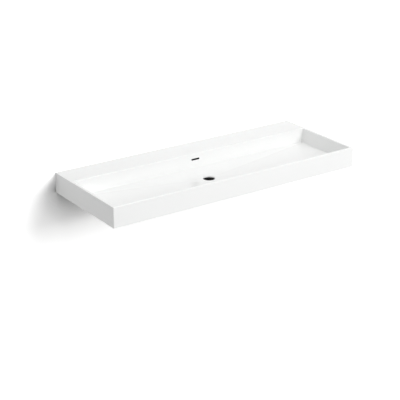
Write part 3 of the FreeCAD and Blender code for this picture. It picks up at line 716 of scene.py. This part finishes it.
def insert_cutter(x, y, flats, low, high):
    """An upright hexagonal prism, for the hole of a threaded insert."""
    radius = flats / math.sqrt(3)
    angles = [2 * math.pi * side / 6 for side in range(6)]
    rings = [[Vector((x + radius * math.cos(angle), y + radius * math.sin(angle), level)) for angle in angles]
             for level in (low, high)]
    return stacked_rings("insert_hole", rings, False, lambda centre, index: BARE)


def bolt_places(parts):
    """Where the four bolts stand, seen from above."""
    return [(side * parts.console_place, -row) for side in (-1, 1) for row in (parts.near_row, parts.far_row)]


def bay_boxes(size, parts):
    """The lower and upper corners of the open bays under the ledge."""
    low = TOP - size.height - PAST
    back = -size.back_plane - BITE
    near = -size.flange
    ceiling = TOP - size.ledge_thickness
    bay = size.console_bay / 2
    inner = parts.console_place - bay - size.rib
    outer = parts.console_place + bay + size.rib
    end = size.width / 2 - size.skirt
    pipes = size.service_bay / 2
    boxes = [
        ((-end, back, low), (-outer, near, ceiling)),
        ((outer, back, low), (end, near, ceiling)),
        ((-inner, back, low), (inner, near, ceiling)),
        ((-pipes, near - PAST, low), (pipes, PAST, ceiling)),
    ]
    for place in (-parts.console_place, parts.console_place):
        boxes.append(((place - bay, back, low), (place + bay, PAST, TOP - size.pad_thickness)))
    return boxes


def carve(item, mesh):
    """Take a cutter out of the casting."""
    for material in item.data.materials:
        mesh.materials.append(material)
    cutter = new_object("cutter", mesh)
    step = item.modifiers.new("carve", "BOOLEAN")
    step.operation = "DIFFERENCE"
    step.solver = "EXACT"
    step.object = cutter
    before = len(item.data.polygons)
    plain_mesh(item)
    if len(item.data.polygons) == before:
        raise RuntimeError(f"{mesh.name} cuts nothing")
    drop_object(cutter)


class WASHBASIN_OT_casting(bpy.types.Operator):
    """Build the casting: rim, ledge, bowl with its fan-shaped floor, waste hole and hollow underside"""

    bl_idname = "washbasin.casting"
    bl_label = "Casting"

    def execute(self, context):
        size, parts, finishes, _ = scene_settings(context)
        rings, raw = casting_rings(size)
        seat = len(rings) - 1

        def material(centre, index):
            """White outside, painted black as shade low in the waste hole, bare on the hidden sides."""
            if index == seat - 1:
                return SHADE_BLACK
            return BARE if index < raw or index == seat or centre.y > -MERGE else WHITE

        item = new_object("basin_shell", stacked_rings("basin_shell", rings, True, material))
        # white coat, bare casting, and black that paints shade in the waste hole and the slot
        for maker in (gel_coat, bare_casting, black_plastic):
            item.data.materials.append(material_for(maker, finishes))
        for low, high in bay_boxes(size, parts):
            carve(item, box_mesh("bay", low, high, BARE))
        carve(item, slot_cutter(size))
        pad = TOP - size.pad_thickness
        for x, y in bolt_places(parts):
            carve(item, insert_cutter(x, y, size.insert_flats, pad - PAST, pad + size.insert_depth))
        tidy_mesh(item.data, merge=2 * MERGE, outwards=False)
        soften(item, sharp_from=32.0)
        finish_piece(item, "basin_body")
        return {"FINISHED"}


# Pieces that keep their solid's form

# angles in degrees: faces that differ by less than the first are joined, edges get a bevel from
# the second on and stay sharp from the third on
SAME_PLANE = 0.6
BEVEL_FROM = 28.0
SHARP_FROM = 34.0


def dressed_copy(name, node, maker, finishes, edge):
    """A merged copy of a solid with its edges broken by a small bevel."""
    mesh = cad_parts[node].data.copy()
    mesh.name = name
    mesh.materials.clear()
    tidy_mesh(mesh, flatten=math.radians(SAME_PLANE), outwards=False)
    mesh.materials.append(material_for(maker, finishes))
    mesh.polygons.foreach_set("material_index", [0] * len(mesh.polygons))
    item = new_object(name, mesh)
    bevel = item.modifiers.new("edge", "BEVEL")
    bevel.width = edge
    bevel.segments = 2
    bevel.limit_method = "ANGLE"
    bevel.angle_limit = math.radians(BEVEL_FROM)
    bevel.use_clamp_overlap = True
    plain_mesh(item)
    soften(item, SHARP_FROM)
    finish_piece(item, node)


class WASHBASIN_OT_overflow_inlet(bpy.types.Operator):
    """Build the black overflow inlet behind the slot and its seal"""

    bl_idname = "washbasin.overflow_inlet"
    bl_label = "Overflow inlet"

    def execute(self, context):
        finishes = context.scene.finishes
        dressed_copy("inlet_housing", "overflow_inlet", black_plastic, finishes,
                     edge=0.4 * MM)
        dressed_copy("inlet_gasket", "overflow_inlet_seal", dull_rubber, finishes,
                     edge=0.2 * MM)
        return {"FINISHED"}


class WASHBASIN_OT_drain_chamber(bpy.types.Operator):
    """Build the ring chamber round the waste hole and its seal"""

    bl_idname = "washbasin.drain_chamber"
    bl_label = "Drain chamber"

    def execute(self, context):
        finishes = context.scene.finishes
        dressed_copy("collecting_chamber", "drain_chamber", black_plastic, finishes,
                     edge=0.5 * MM)
        dressed_copy("chamber_gasket", "drain_chamber_seal", dull_rubber, finishes,
                     edge=0.2 * MM)
        return {"FINISHED"}


class WASHBASIN_OT_consoles(bpy.types.Operator):
    """Build the two bent steel consoles and their rubber cushions"""

    bl_idname = "washbasin.consoles"
    bl_label = "Consoles"

    def execute(self, context):
        finishes = context.scene.finishes
        for side in ("left", "right"):
            dressed_copy(f"console_{side}", f"wall_bracket_{side}", powder_coat, finishes,
                         edge=0.5 * MM)
            dressed_copy(f"cushion_{side}", f"bracket_cushion_{side}", dull_rubber, finishes,
                         edge=0.3 * MM)
        return {"FINISHED"}


class WASHBASIN_OT_inserts(bpy.types.Operator):
    """Build the brass bushes in the ledge"""

    bl_idname = "washbasin.inserts"
    bl_label = "Threaded inserts"

    def execute(self, context):
        dressed_copy("insert_bushes", "threaded_inserts", turned_brass, context.scene.finishes,
                     edge=0.3 * MM)
        return {"FINISHED"}


# Pieces grown by geometry nodes

SOCKETS = {
    float: "NodeSocketFloat",
    int: "NodeSocketInt",
    tuple: "NodeSocketVector",
    bpy.types.Material: "NodeSocketMaterial",
}


class Recipe:
    """A geometry node tree with named inputs that ends in plain, painted meshes."""

    def __init__(self, name, values):
        self.values = values
        self.tree = bpy.data.node_groups.new(name, "GeometryNodeTree")
        face = self.tree.interface
        face.new_socket("Geometry", in_out="INPUT", socket_type="NodeSocketGeometry")
        self.keys = {}
        for label, value in values.items():
            socket = face.new_socket(label, in_out="INPUT", socket_type=SOCKETS[type(value)])
            socket.default_value = value
            self.keys[label] = socket.identifier
        face.new_socket("Geometry", in_out="OUTPUT", socket_type="NodeSocketGeometry")
        self.start = self.tree.nodes.new("NodeGroupInput")
        self.stop = self.tree.nodes.new("NodeGroupOutput")

    def take(self, *labels):
        """The sockets of some of the inputs."""
        return [self.start.outputs[label] for label in labels]

    def add(self, kind, inputs=None, output=0, **settings):
        """Add a node and give its output socket."""
        return put(self.tree, kind, inputs, **settings).outputs[output]

    def sum(self, *terms):
        """A weighted sum: each term is a socket and its factor."""
        total = None
        for socket, factor in terms:
            part = calc(self.tree, "MULTIPLY", socket, factor)
            total = part if total is None else calc(self.tree, "ADD", total, part)
        return total

    def place(self, x=0.0, y=0.0, z=0.0):
        return self.add("ShaderNodeCombineXYZ", {"X": x, "Y": y, "Z": z})

    def raised(self, geometry, z):
        return self.add("GeometryNodeTransform", {"Geometry": geometry, "Translation": self.place(z=z)})

    def cylinder(self, sides, radius, depth, middle):
        """An upright cylinder or prism with its middle at a given height."""
        inputs = {"Vertices": sides, "Radius": radius, "Depth": depth}
        return self.raised(self.add("GeometryNodeMeshCylinder", inputs, output="Mesh"), middle)

    def block(self, x, y, z, middle):
        """A block with its middle at a given height."""
        cube = self.add("GeometryNodeMeshCube", {"Size": self.place(x, y, z)}, output="Mesh")
        return self.raised(cube, middle)

    def swept(self, path, profile, capped):
        inputs = {"Curve": path, "Profile Curve": profile, "Fill Caps": capped}
        return self.add("GeometryNodeCurveToMesh", inputs)

    def rounded(self, curve, radius, count):
        inputs = {"Curve": curve, "Radius": radius, "Count": count}
        return self.add("GeometryNodeFilletCurve", inputs, mode="POLY")

    def join(self, *parts):
        return self.add("GeometryNodeJoinGeometry", {"Geometry": list(reversed(parts))})

    def combined(self, operation, *parts):
        """All parts as one, or only what they share."""
        inputs = {"Mesh 2": list(parts)}
        return self.add("GeometryNodeMeshBoolean", inputs, operation=operation, solver="EXACT")

    def cut(self, whole, tool):
        """What is left of the whole when the tool is taken out."""
        inputs = {"Mesh 1": whole, "Mesh 2": tool}
        return self.add("GeometryNodeMeshBoolean", inputs, operation="DIFFERENCE", solver="EXACT")

    def on_points(self, shape, turn=(0.0, 0.0, 0.0)):
        """Put one copy of a shape on each point, turned about its own axis."""
        inputs = {"Points": self.start.outputs["Geometry"], "Instance": shape, "Rotation": turn}
        return self.add("GeometryNodeInstanceOnPoints", inputs)

    def end(self, geometry):
        """Make the copies real, paint them and give them out."""
        whole = self.add("GeometryNodeRealizeInstances", {"Geometry": geometry})
        inputs = {"Geometry": whole, "Material": self.start.outputs["Material"]}
        wire(self.tree, self.stop, {"Geometry": self.add("GeometryNodeSetMaterial", inputs)})

    def grow(self, name, points, edges=(), **changes):
        """Run the recipe on a few points and give the plain mesh that comes out."""
        seed = bpy.data.meshes.new(name)
        seed.from_pydata(points, edges, [])
        item = new_object(name, seed)
        step = item.modifiers.new("recipe", "NODES")
        step.node_group = self.tree
        for label, value in {**self.values, **changes}.items():
            step[self.keys[label]] = value
        plain_mesh(item)
        if not item.data.polygons:
            raise RuntimeError(f"{name} came out empty")
        return item


# a thread in shares of its pitch: how deep its core and its ridge lie, and the ridge's radius
CORE_DEPTH = 0.45
RIDGE_DEPTH = 0.36
RIDGE_SIZE = 0.34

# where the ridge starts and how far it runs, in shares of the shank
RIDGE_START = 0.03
RIDGE_RUN = 0.94


def thread(recipe):
    """A shank: a plain core with a ridge wound round it, from the origin up."""
    radius, run, pitch = recipe.take("Radius", "Length", "Pitch")
    core = recipe.cylinder(32, recipe.sum((radius, 1.0), (pitch, -CORE_DEPTH)), run, recipe.sum((run, 0.5)))
    height = recipe.sum((run, RIDGE_RUN))
    around = recipe.sum((radius, 1.0), (pitch, -RIDGE_DEPTH))
    spiral = recipe.add("GeometryNodeCurveSpiral", {
        "Resolution": 24, "Rotations": calc(recipe.tree, "DIVIDE", height, pitch),
        "Start Radius": around, "End Radius": around, "Height": height})
    profile = recipe.add("GeometryNodeCurvePrimitiveCircle", {
        "Resolution": 4, "Radius": recipe.sum((pitch, RIDGE_SIZE))}, output="Curve")
    ridge = recipe.swept(spiral, profile, capped=True)
    return recipe.join(core, recipe.raised(ridge, recipe.sum((run, RIDGE_START))))


# the cone that takes the corners off a bolt's head: its small radius in shares of the flats, how
# far it widens and how high it is in shares of the head
CONE_RADIUS = 0.47
CONE_SLOPE = 1.9
CONE_HEIGHT = 1.02


def bolt_recipe(values):
    """A hexagon bolt: its head hangs below the point, its shank stands above it."""
    recipe = Recipe("hexagon_bolt", values)
    flats, head, seed = recipe.take("Flats", "Head", "Seed")
    prism = recipe.cylinder(6, recipe.sum((flats, 1 / math.sqrt(3))), head, recipe.sum((head, -0.5)))
    cone = recipe.add("GeometryNodeMeshCone", {
        "Vertices": 64, "Radius Bottom": recipe.sum((flats, CONE_RADIUS)),
        "Radius Top": recipe.sum((flats, CONE_RADIUS), (head, CONE_SLOPE)),
        "Depth": recipe.sum((head, CONE_HEIGHT))}, output="Mesh")
    cone = recipe.raised(cone, recipe.sum((head, -1.0)))
    bolt = recipe.join(recipe.combined("INTERSECT", prism, cone), thread(recipe))
    turn = recipe.add("FunctionNodeRandomValue", {
        "Min": (0.0, 0.0, 0.0), "Max": (0.0, 0.0, 1.0), "Seed": seed}, data_type="FLOAT_VECTOR")
    recipe.end(recipe.on_points(bolt, turn))
    return recipe


def washer_recipe(values):
    """A flat ring with broken edges that stands on its point."""
    recipe = Recipe("washer", values)
    outer, bore, thickness, edge = recipe.take("Radius", "Bore", "Thickness", "Edge")
    path = recipe.add("GeometryNodeCurvePrimitiveCircle", {
        "Resolution": 64, "Radius": recipe.sum((outer, 0.5), (bore, 0.5))}, output="Curve")
    path = recipe.add("GeometryNodeSetCurveNormal", {"Curve": path}, mode="Z_UP")
    profile = recipe.add("GeometryNodeCurvePrimitiveQuadrilateral", {
        "Width": recipe.sum((outer, 1.0), (bore, -1.0)), "Height": thickness}, output="Curve")
    ring = recipe.swept(path, recipe.rounded(profile, edge, count=2), capped=False)
    recipe.end(recipe.on_points(recipe.raised(ring, recipe.sum((thickness, 0.5)))))
    return recipe


# a small screw's head: the straight part of its rim and the cross's depth in shares of its height,
# the cross's length and width in shares of its radius
RIM_SHARE = 0.3
CROSS_DEPTH = 0.55
CROSS_LENGTH = 1.25
CROSS_WIDTH = 0.3


def screw_recipe(values):
    """A small screw with a domed head and a cross in it."""
    recipe = Recipe("dome_screw", values)
    radius, height, turn = recipe.take("Head radius", "Head height", "Turn")
    ball = recipe.add("GeometryNodeMeshUVSphere", {"Segments": 40, "Rings": 24, "Radius": 1.0}, output="Mesh")
    ball = recipe.add("GeometryNodeTransform", {
        "Geometry": ball, "Scale": recipe.place(radius, radius, recipe.sum((height, 1 - RIM_SHARE))),
        "Translation": recipe.place(z=recipe.sum((height, -RIM_SHARE)))})
    rim = recipe.cylinder(40, radius, recipe.sum((height, RIM_SHARE)), recipe.sum((height, -RIM_SHARE / 2)))
    wide = recipe.sum((radius, 3.0))
    block = recipe.block(wide, wide, height, recipe.sum((height, -RIM_SHARE - 0.5)))
    head = recipe.combined("UNION", recipe.combined("INTERSECT", ball, block), rim)
    for long, short in ((CROSS_LENGTH, CROSS_WIDTH), (CROSS_WIDTH, CROSS_LENGTH)):
        arm = recipe.block(recipe.sum((radius, long)), recipe.sum((radius, short)),
                           recipe.sum((height, 2 * CROSS_DEPTH)), recipe.sum((height, -1.0)))
        head = recipe.cut(head, arm)
    recipe.end(recipe.on_points(recipe.join(head, thread(recipe)), turn))
    return recipe


# how much tighter the duct's inner edges are, in shares of its wall
INNER_EDGE = 0.6


def duct_recipe(values):
    """A flat tube swept along a bent path."""
    recipe = Recipe("bent_duct", values)
    width, height, wall, bend, corner = recipe.take("Width", "Height", "Wall", "Bend", "Corner")
    line = recipe.add("GeometryNodeMeshToCurve", {"Mesh": recipe.start.outputs["Geometry"]})
    path = recipe.rounded(line, bend, count=14)
    skins = []
    for inset in (0.0, 1.0):
        profile = recipe.add("GeometryNodeCurvePrimitiveQuadrilateral", {
            "Width": recipe.sum((width, 1.0), (wall, -2.0 * inset)),
            "Height": recipe.sum((height, 1.0), (wall, -2.0 * inset))}, output="Curve")
        profile = recipe.rounded(profile, recipe.sum((corner, 1.0), (wall, -INNER_EDGE * inset)), count=5)
        skins.append(recipe.swept(path, profile, capped=True))
    recipe.end(recipe.cut(*skins))
    return recipe


class WASHBASIN_OT_bolts(bpy.types.Operator):
    """Build the four bolts and washers that hold the casting on its consoles"""

    bl_idname = "washbasin.bolts"
    bl_label = "Bolts and washers"

    def execute(self, context):
        _, size, finishes, _ = scene_settings(context)
        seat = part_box("bracket_washers")[0].z
        points = [(x, y, seat) for x, y in bolt_places(size)]
        zinc = material_for(zinc_plate, finishes)
        bolts = bolt_recipe({
            "Flats": size.bolt_flats, "Head": size.bolt_head, "Radius": size.bolt_radius,
            "Length": size.bolt_length, "Pitch": size.bolt_pitch, "Seed": size.seed, "Material": zinc,
        })
        bolts = soften(bolts.grow("seat_bolts", points), sharp_from=28.0)
        finish_piece(bolts, "bracket_bolts")
        washers = washer_recipe({
            "Radius": size.washer_radius, "Bore": size.washer_bore, "Thickness": size.washer_thickness,
            "Edge": size.washer_thickness / 6, "Material": zinc,
        })
        washers = soften(washers.grow("seat_washers", points), sharp_from=50.0)
        finish_piece(washers, "bracket_washers")
        return {"FINISHED"}


# where the chamber's screws stand on their circle, in degrees
CHAMBER_SCREWS = (-90, 30, 150)

# how far the crosses of the chamber's screws are turned, in radians
CROSS_TURN = 0.4


class WASHBASIN_OT_screws(bpy.types.Operator):
    """Build the small screws of the overflow inlet and of the drain chamber"""

    bl_idname = "washbasin.screws"
    bl_label = "Small screws"

    def execute(self, context):
        casting, size, finishes, _ = scene_settings(context)
        recipe = screw_recipe({
            "Head radius": size.screw_head, "Head height": size.screw_head_height,
            "Radius": size.screw_radius, "Length": size.screw_length, "Pitch": size.screw_pitch,
            "Turn": (0.0, 0.0, 0.0), "Material": material_for(zinc_plate, finishes),
        })
        low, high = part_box("inlet_screws")
        level = high.y - size.screw_head_height
        z = (low.z + high.z) / 2
        points = [(low.x + size.screw_head, level, z), (high.x - size.screw_head, level, z)]
        inlet = recipe.grow("inlet_fixings", points, Turn=(math.pi / 2, 0.0, 0.0))
        finish_piece(soften(inlet, sharp_from=30.0), "inlet_screws")
        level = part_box("chamber_screws")[0].z + size.screw_head_height
        points = []
        for degrees in CHAMBER_SCREWS:
            angle = math.radians(degrees)
            points.append((size.screw_circle * math.cos(angle),
                           -casting.waste_place + size.screw_circle * math.sin(angle), level))
        chamber = recipe.grow("chamber_fixings", points, Turn=(0.0, 0.0, CROSS_TURN))
        finish_piece(soften(chamber, sharp_from=30.0), "chamber_screws")
        return {"FINISHED"}


class WASHBASIN_OT_duct(bpy.types.Operator):
    """Build the flat black duct from the overflow inlet to the drain chamber"""

    bl_idname = "washbasin.duct"
    bl_label = "Overflow duct"

    def execute(self, context):
        _, size, finishes, _ = scene_settings(context)
        low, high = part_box("overflow_duct")
        back = high.y - size.duct_height / 2
        level = low.z + size.duct_height / 2
        points = [(0.0, back, high.z), (0.0, back, level), (0.0, low.y, level)]
        recipe = duct_recipe({
            "Width": high.x - low.x, "Height": size.duct_height, "Wall": size.duct_wall,
            "Bend": size.duct_bend, "Corner": size.duct_corner,
            "Material": material_for(black_plastic, finishes),
        })
        duct = recipe.grow("duct_tube", points, [(0, 1), (1, 2)])
        finish_piece(soften(duct, sharp_from=35.0), "overflow_duct")
        return {"FINISHED"}


# The studio

# half width, upper edge and depth of the room, and how much smaller than the basin's back its
# opening is on each side
ROOM_HALF = 4.0
ROOM_TOP = 2.6
ROOM_DEPTH = 5.0
OPENING_GAP = 1.5 * MM

# the wall's soft shadow: how far it reaches from a corner, how dark it is, and the heights between
# which it fades out above and below the basin
SHADOW_REACH = 0.2
SHADOW_POWER = 2.4
SHADOW_SAMPLES = 16
SHADOW_ABOVE = (TOP, TOP - 80 * MM)
SHADOW_BELOW = (-0.6, -0.4)

# where the lights point, and the camera's place, turn and lens
TARGET = Vector((0.0, -0.2, 0.03))
CAMERA_PLACE = (-2.460, -3.708, 1.605)
CAMERA_TILT = math.radians(69.375)
CAMERA_TURN = math.radians(-34.668)
CAMERA_LENS = 106.9
CAMERA_SHIFT = -0.065
CAMERA_END = 50.0


def one_sided(name, base, bright):
    """Matt paint that is seen from its front only; the camera sees it as bright as a studio's backdrop, with
    a painted shadow near the basin.
    """
    material, tree, shader = blank_material(name)
    place = object_place(tree)
    clouds = noise(tree, place, scale=1.5, detail=3.0)
    wire(tree, shader, {
        "Base Color": tint(tree, clouds, shade(base, 0.996), shade(base, 1.004)),
        "Roughness": 0.9,
        "Specular IOR Level": 0.2,
    })
    # painted shadow: darker near the basin's corners, fading out above and below it
    corner = put(tree, "ShaderNodeAmbientOcclusion", {"Distance": SHADOW_REACH}, samples=SHADOW_SAMPLES)
    shadow = calc(tree, "POWER", corner.outputs["AO"], SHADOW_POWER)
    height = put(tree, "ShaderNodeSeparateXYZ", {0: place}).outputs["Z"]
    below = stretch(tree, height, *SHADOW_BELOW)
    above = stretch(tree, height, *SHADOW_ABOVE)
    band = calc(tree, "MULTIPLY", below, above)
    shadow = put(tree, "ShaderNodeMix", {"Factor": band, "A": 1.0, "B": shadow})
    seen = put(tree, "ShaderNodeBsdfDiffuse", {"Color": calc(tree, "MULTIPLY", shadow, bright)})
    camera = put(tree, "ShaderNodeLightPath").outputs["Is Camera Ray"]
    paint = put(tree, "ShaderNodeMixShader", {0: camera, 1: shader, 2: seen})
    behind = put(tree, "ShaderNodeNewGeometry").outputs["Backfacing"]
    clear = put(tree, "ShaderNodeBsdfTransparent")
    mix = put(tree, "ShaderNodeMixShader", {0: behind, 1: paint, 2: clear})
    wire(tree, tree.nodes["Material Output"], {"Surface": mix})
    return material


def backdrop(name, points, faces, material):
    mesh = bpy.data.meshes.new(name)
    mesh.from_pydata(points, [], faces)
    mesh.materials.append(material)
    new_object(name, mesh)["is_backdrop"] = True


def room(casting, studio):
    """A wall with an opening behind the basin, and a floor."""
    floor = -studio.floor_drop
    opening = (casting.width / 2 - OPENING_GAP, TOP - casting.height + OPENING_GAP, TOP - OPENING_GAP)
    points = []
    for half, low, high in ((ROOM_HALF, floor, ROOM_TOP), opening):
        points += [(-half, 0, low), (half, 0, low), (half, 0, high), (-half, 0, high)]
    faces = [(k, (k + 1) % 4, 4 + (k + 1) % 4, 4 + k) for k in range(4)]
    paint = one_sided("wall_paint", studio.wall_paint, studio.wall_white)
    backdrop("studio_wall", points, faces, paint)
    corners = ((-1, 0), (-1, -ROOM_DEPTH), (1, -ROOM_DEPTH), (1, 0))
    points = [(side * ROOM_HALF, y, floor) for side, y in corners]
    paint = one_sided("floor_paint", studio.floor_paint, studio.floor_white)
    backdrop("studio_floor", points, [(0, 1, 2, 3)], paint)


def soft_light(name, turn, rise, distance, side, power):
    """A square soft light that shines at the basin."""
    lamp = bpy.data.lights.new(name, "AREA")
    lamp.size = side
    lamp.energy = power
    item = new_object(name, lamp)
    away = Vector((math.sin(turn) * math.cos(rise), -math.cos(turn) * math.cos(rise), math.sin(rise)))
    item.location = TARGET + away * distance
    item.rotation_euler = away.to_track_quat("Z", "Y").to_euler()
    item.visible_camera = False


def sky(scene, ambient):
    """A little light from all sides; camera, mirrors and glass see plain white."""
    world = bpy.data.worlds.new("studio_world")
    scene.world = world
    world.use_nodes = True
    tree = world.node_tree
    tree.nodes.clear()
    rays = put(tree, "ShaderNodeLightPath")
    direct = calc(tree, "MAXIMUM", rays.outputs["Is Camera Ray"], rays.outputs["Is Glossy Ray"])
    seen = calc(tree, "MAXIMUM", direct, rays.outputs["Is Transmission Ray"])
    dim = put(tree, "ShaderNodeBackground", {"Color": (1, 1, 1, 1), "Strength": ambient})
    white = put(tree, "ShaderNodeBackground", {"Color": (1, 1, 1, 1), "Strength": 1.0})
    mix = put(tree, "ShaderNodeMixShader", {0: seen, 1: dim, 2: white})
    put(tree, "ShaderNodeOutputWorld", {"Surface": mix})


def photo_camera(scene):
    """The camera at the photo's angle."""
    lens = bpy.data.cameras.new("camera")
    lens.sensor_width = 36.0
    lens.lens = CAMERA_LENS
    lens.shift_y = CAMERA_SHIFT
    lens.clip_end = CAMERA_END
    camera = new_object("camera", lens)
    camera.location = CAMERA_PLACE
    camera.rotation_euler = (CAMERA_TILT, 0.0, CAMERA_TURN)
    scene.camera = camera


class WASHBASIN_OT_studio(bpy.types.Operator):
    """Build the white wall, the pale floor, the lights and the camera"""

    bl_idname = "washbasin.studio"
    bl_label = "Studio"

    def execute(self, context):
        casting, _, _, studio = scene_settings(context)
        room(casting, studio)
        soft_light("key_light", studio.key_turn, studio.key_rise, studio.key_distance, studio.key_size,
                   studio.key_power)
        soft_light("top_light", 0.0, studio.top_rise, studio.top_distance, studio.top_size, studio.top_power)
        sky(context.scene, studio.ambient)
        photo_camera(context.scene)
        context.scene.view_settings.view_transform = "Standard"
        return {"FINISHED"}


class WASHBASIN_PT_pieces(bpy.types.Panel):
    """Lists the pieces and the sizes that shape them"""

    bl_idname = "WASHBASIN_PT_pieces"
    bl_label = "Washbasin"
    bl_space_type = "VIEW_3D"
    bl_region_type = "UI"
    bl_category = "Washbasin"

    def draw(self, context):
        layout = self.layout
        for operator in OPERATORS:
            layout.operator(operator.bl_idname)
        for group in scene_settings(context):
            box = layout.box()
            for name in group.__annotations__:
                box.prop(group, name)


OPERATORS = (
    WASHBASIN_OT_casting,
    WASHBASIN_OT_overflow_inlet,
    WASHBASIN_OT_duct,
    WASHBASIN_OT_drain_chamber,
    WASHBASIN_OT_consoles,
    WASHBASIN_OT_inserts,
    WASHBASIN_OT_bolts,
    WASHBASIN_OT_screws,
    WASHBASIN_OT_studio,
)
GROUPS = {
    "casting_sizes": CastingSizes,
    "fastener_sizes": FastenerSizes,
    "finishes": Finishes,
    "studio_sizes": StudioSizes,
}


def register():
    for group in GROUPS.values():
        bpy.utils.register_class(group)
    for name, group in GROUPS.items():
        setattr(bpy.types.Scene, name, PointerProperty(type=group))
    for operator in OPERATORS:
        bpy.utils.register_class(operator)
    bpy.utils.register_class(WASHBASIN_PT_pieces)


def unregister():
    bpy.utils.unregister_class(WASHBASIN_PT_pieces)
    for operator in reversed(OPERATORS):
        bpy.utils.unregister_class(operator)
    for name, group in reversed(GROUPS.items()):
        delattr(bpy.types.Scene, name)
        bpy.utils.unregister_class(group)


def main():
    register()
    for operator in OPERATORS:
        group, name = operator.bl_idname.split(".")
        getattr(getattr(bpy.ops, group), name)()
    boxes = [[list(corner) for corner in box] for box in (CAD_BOX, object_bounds())]


if __name__ == "__main__":
    main()
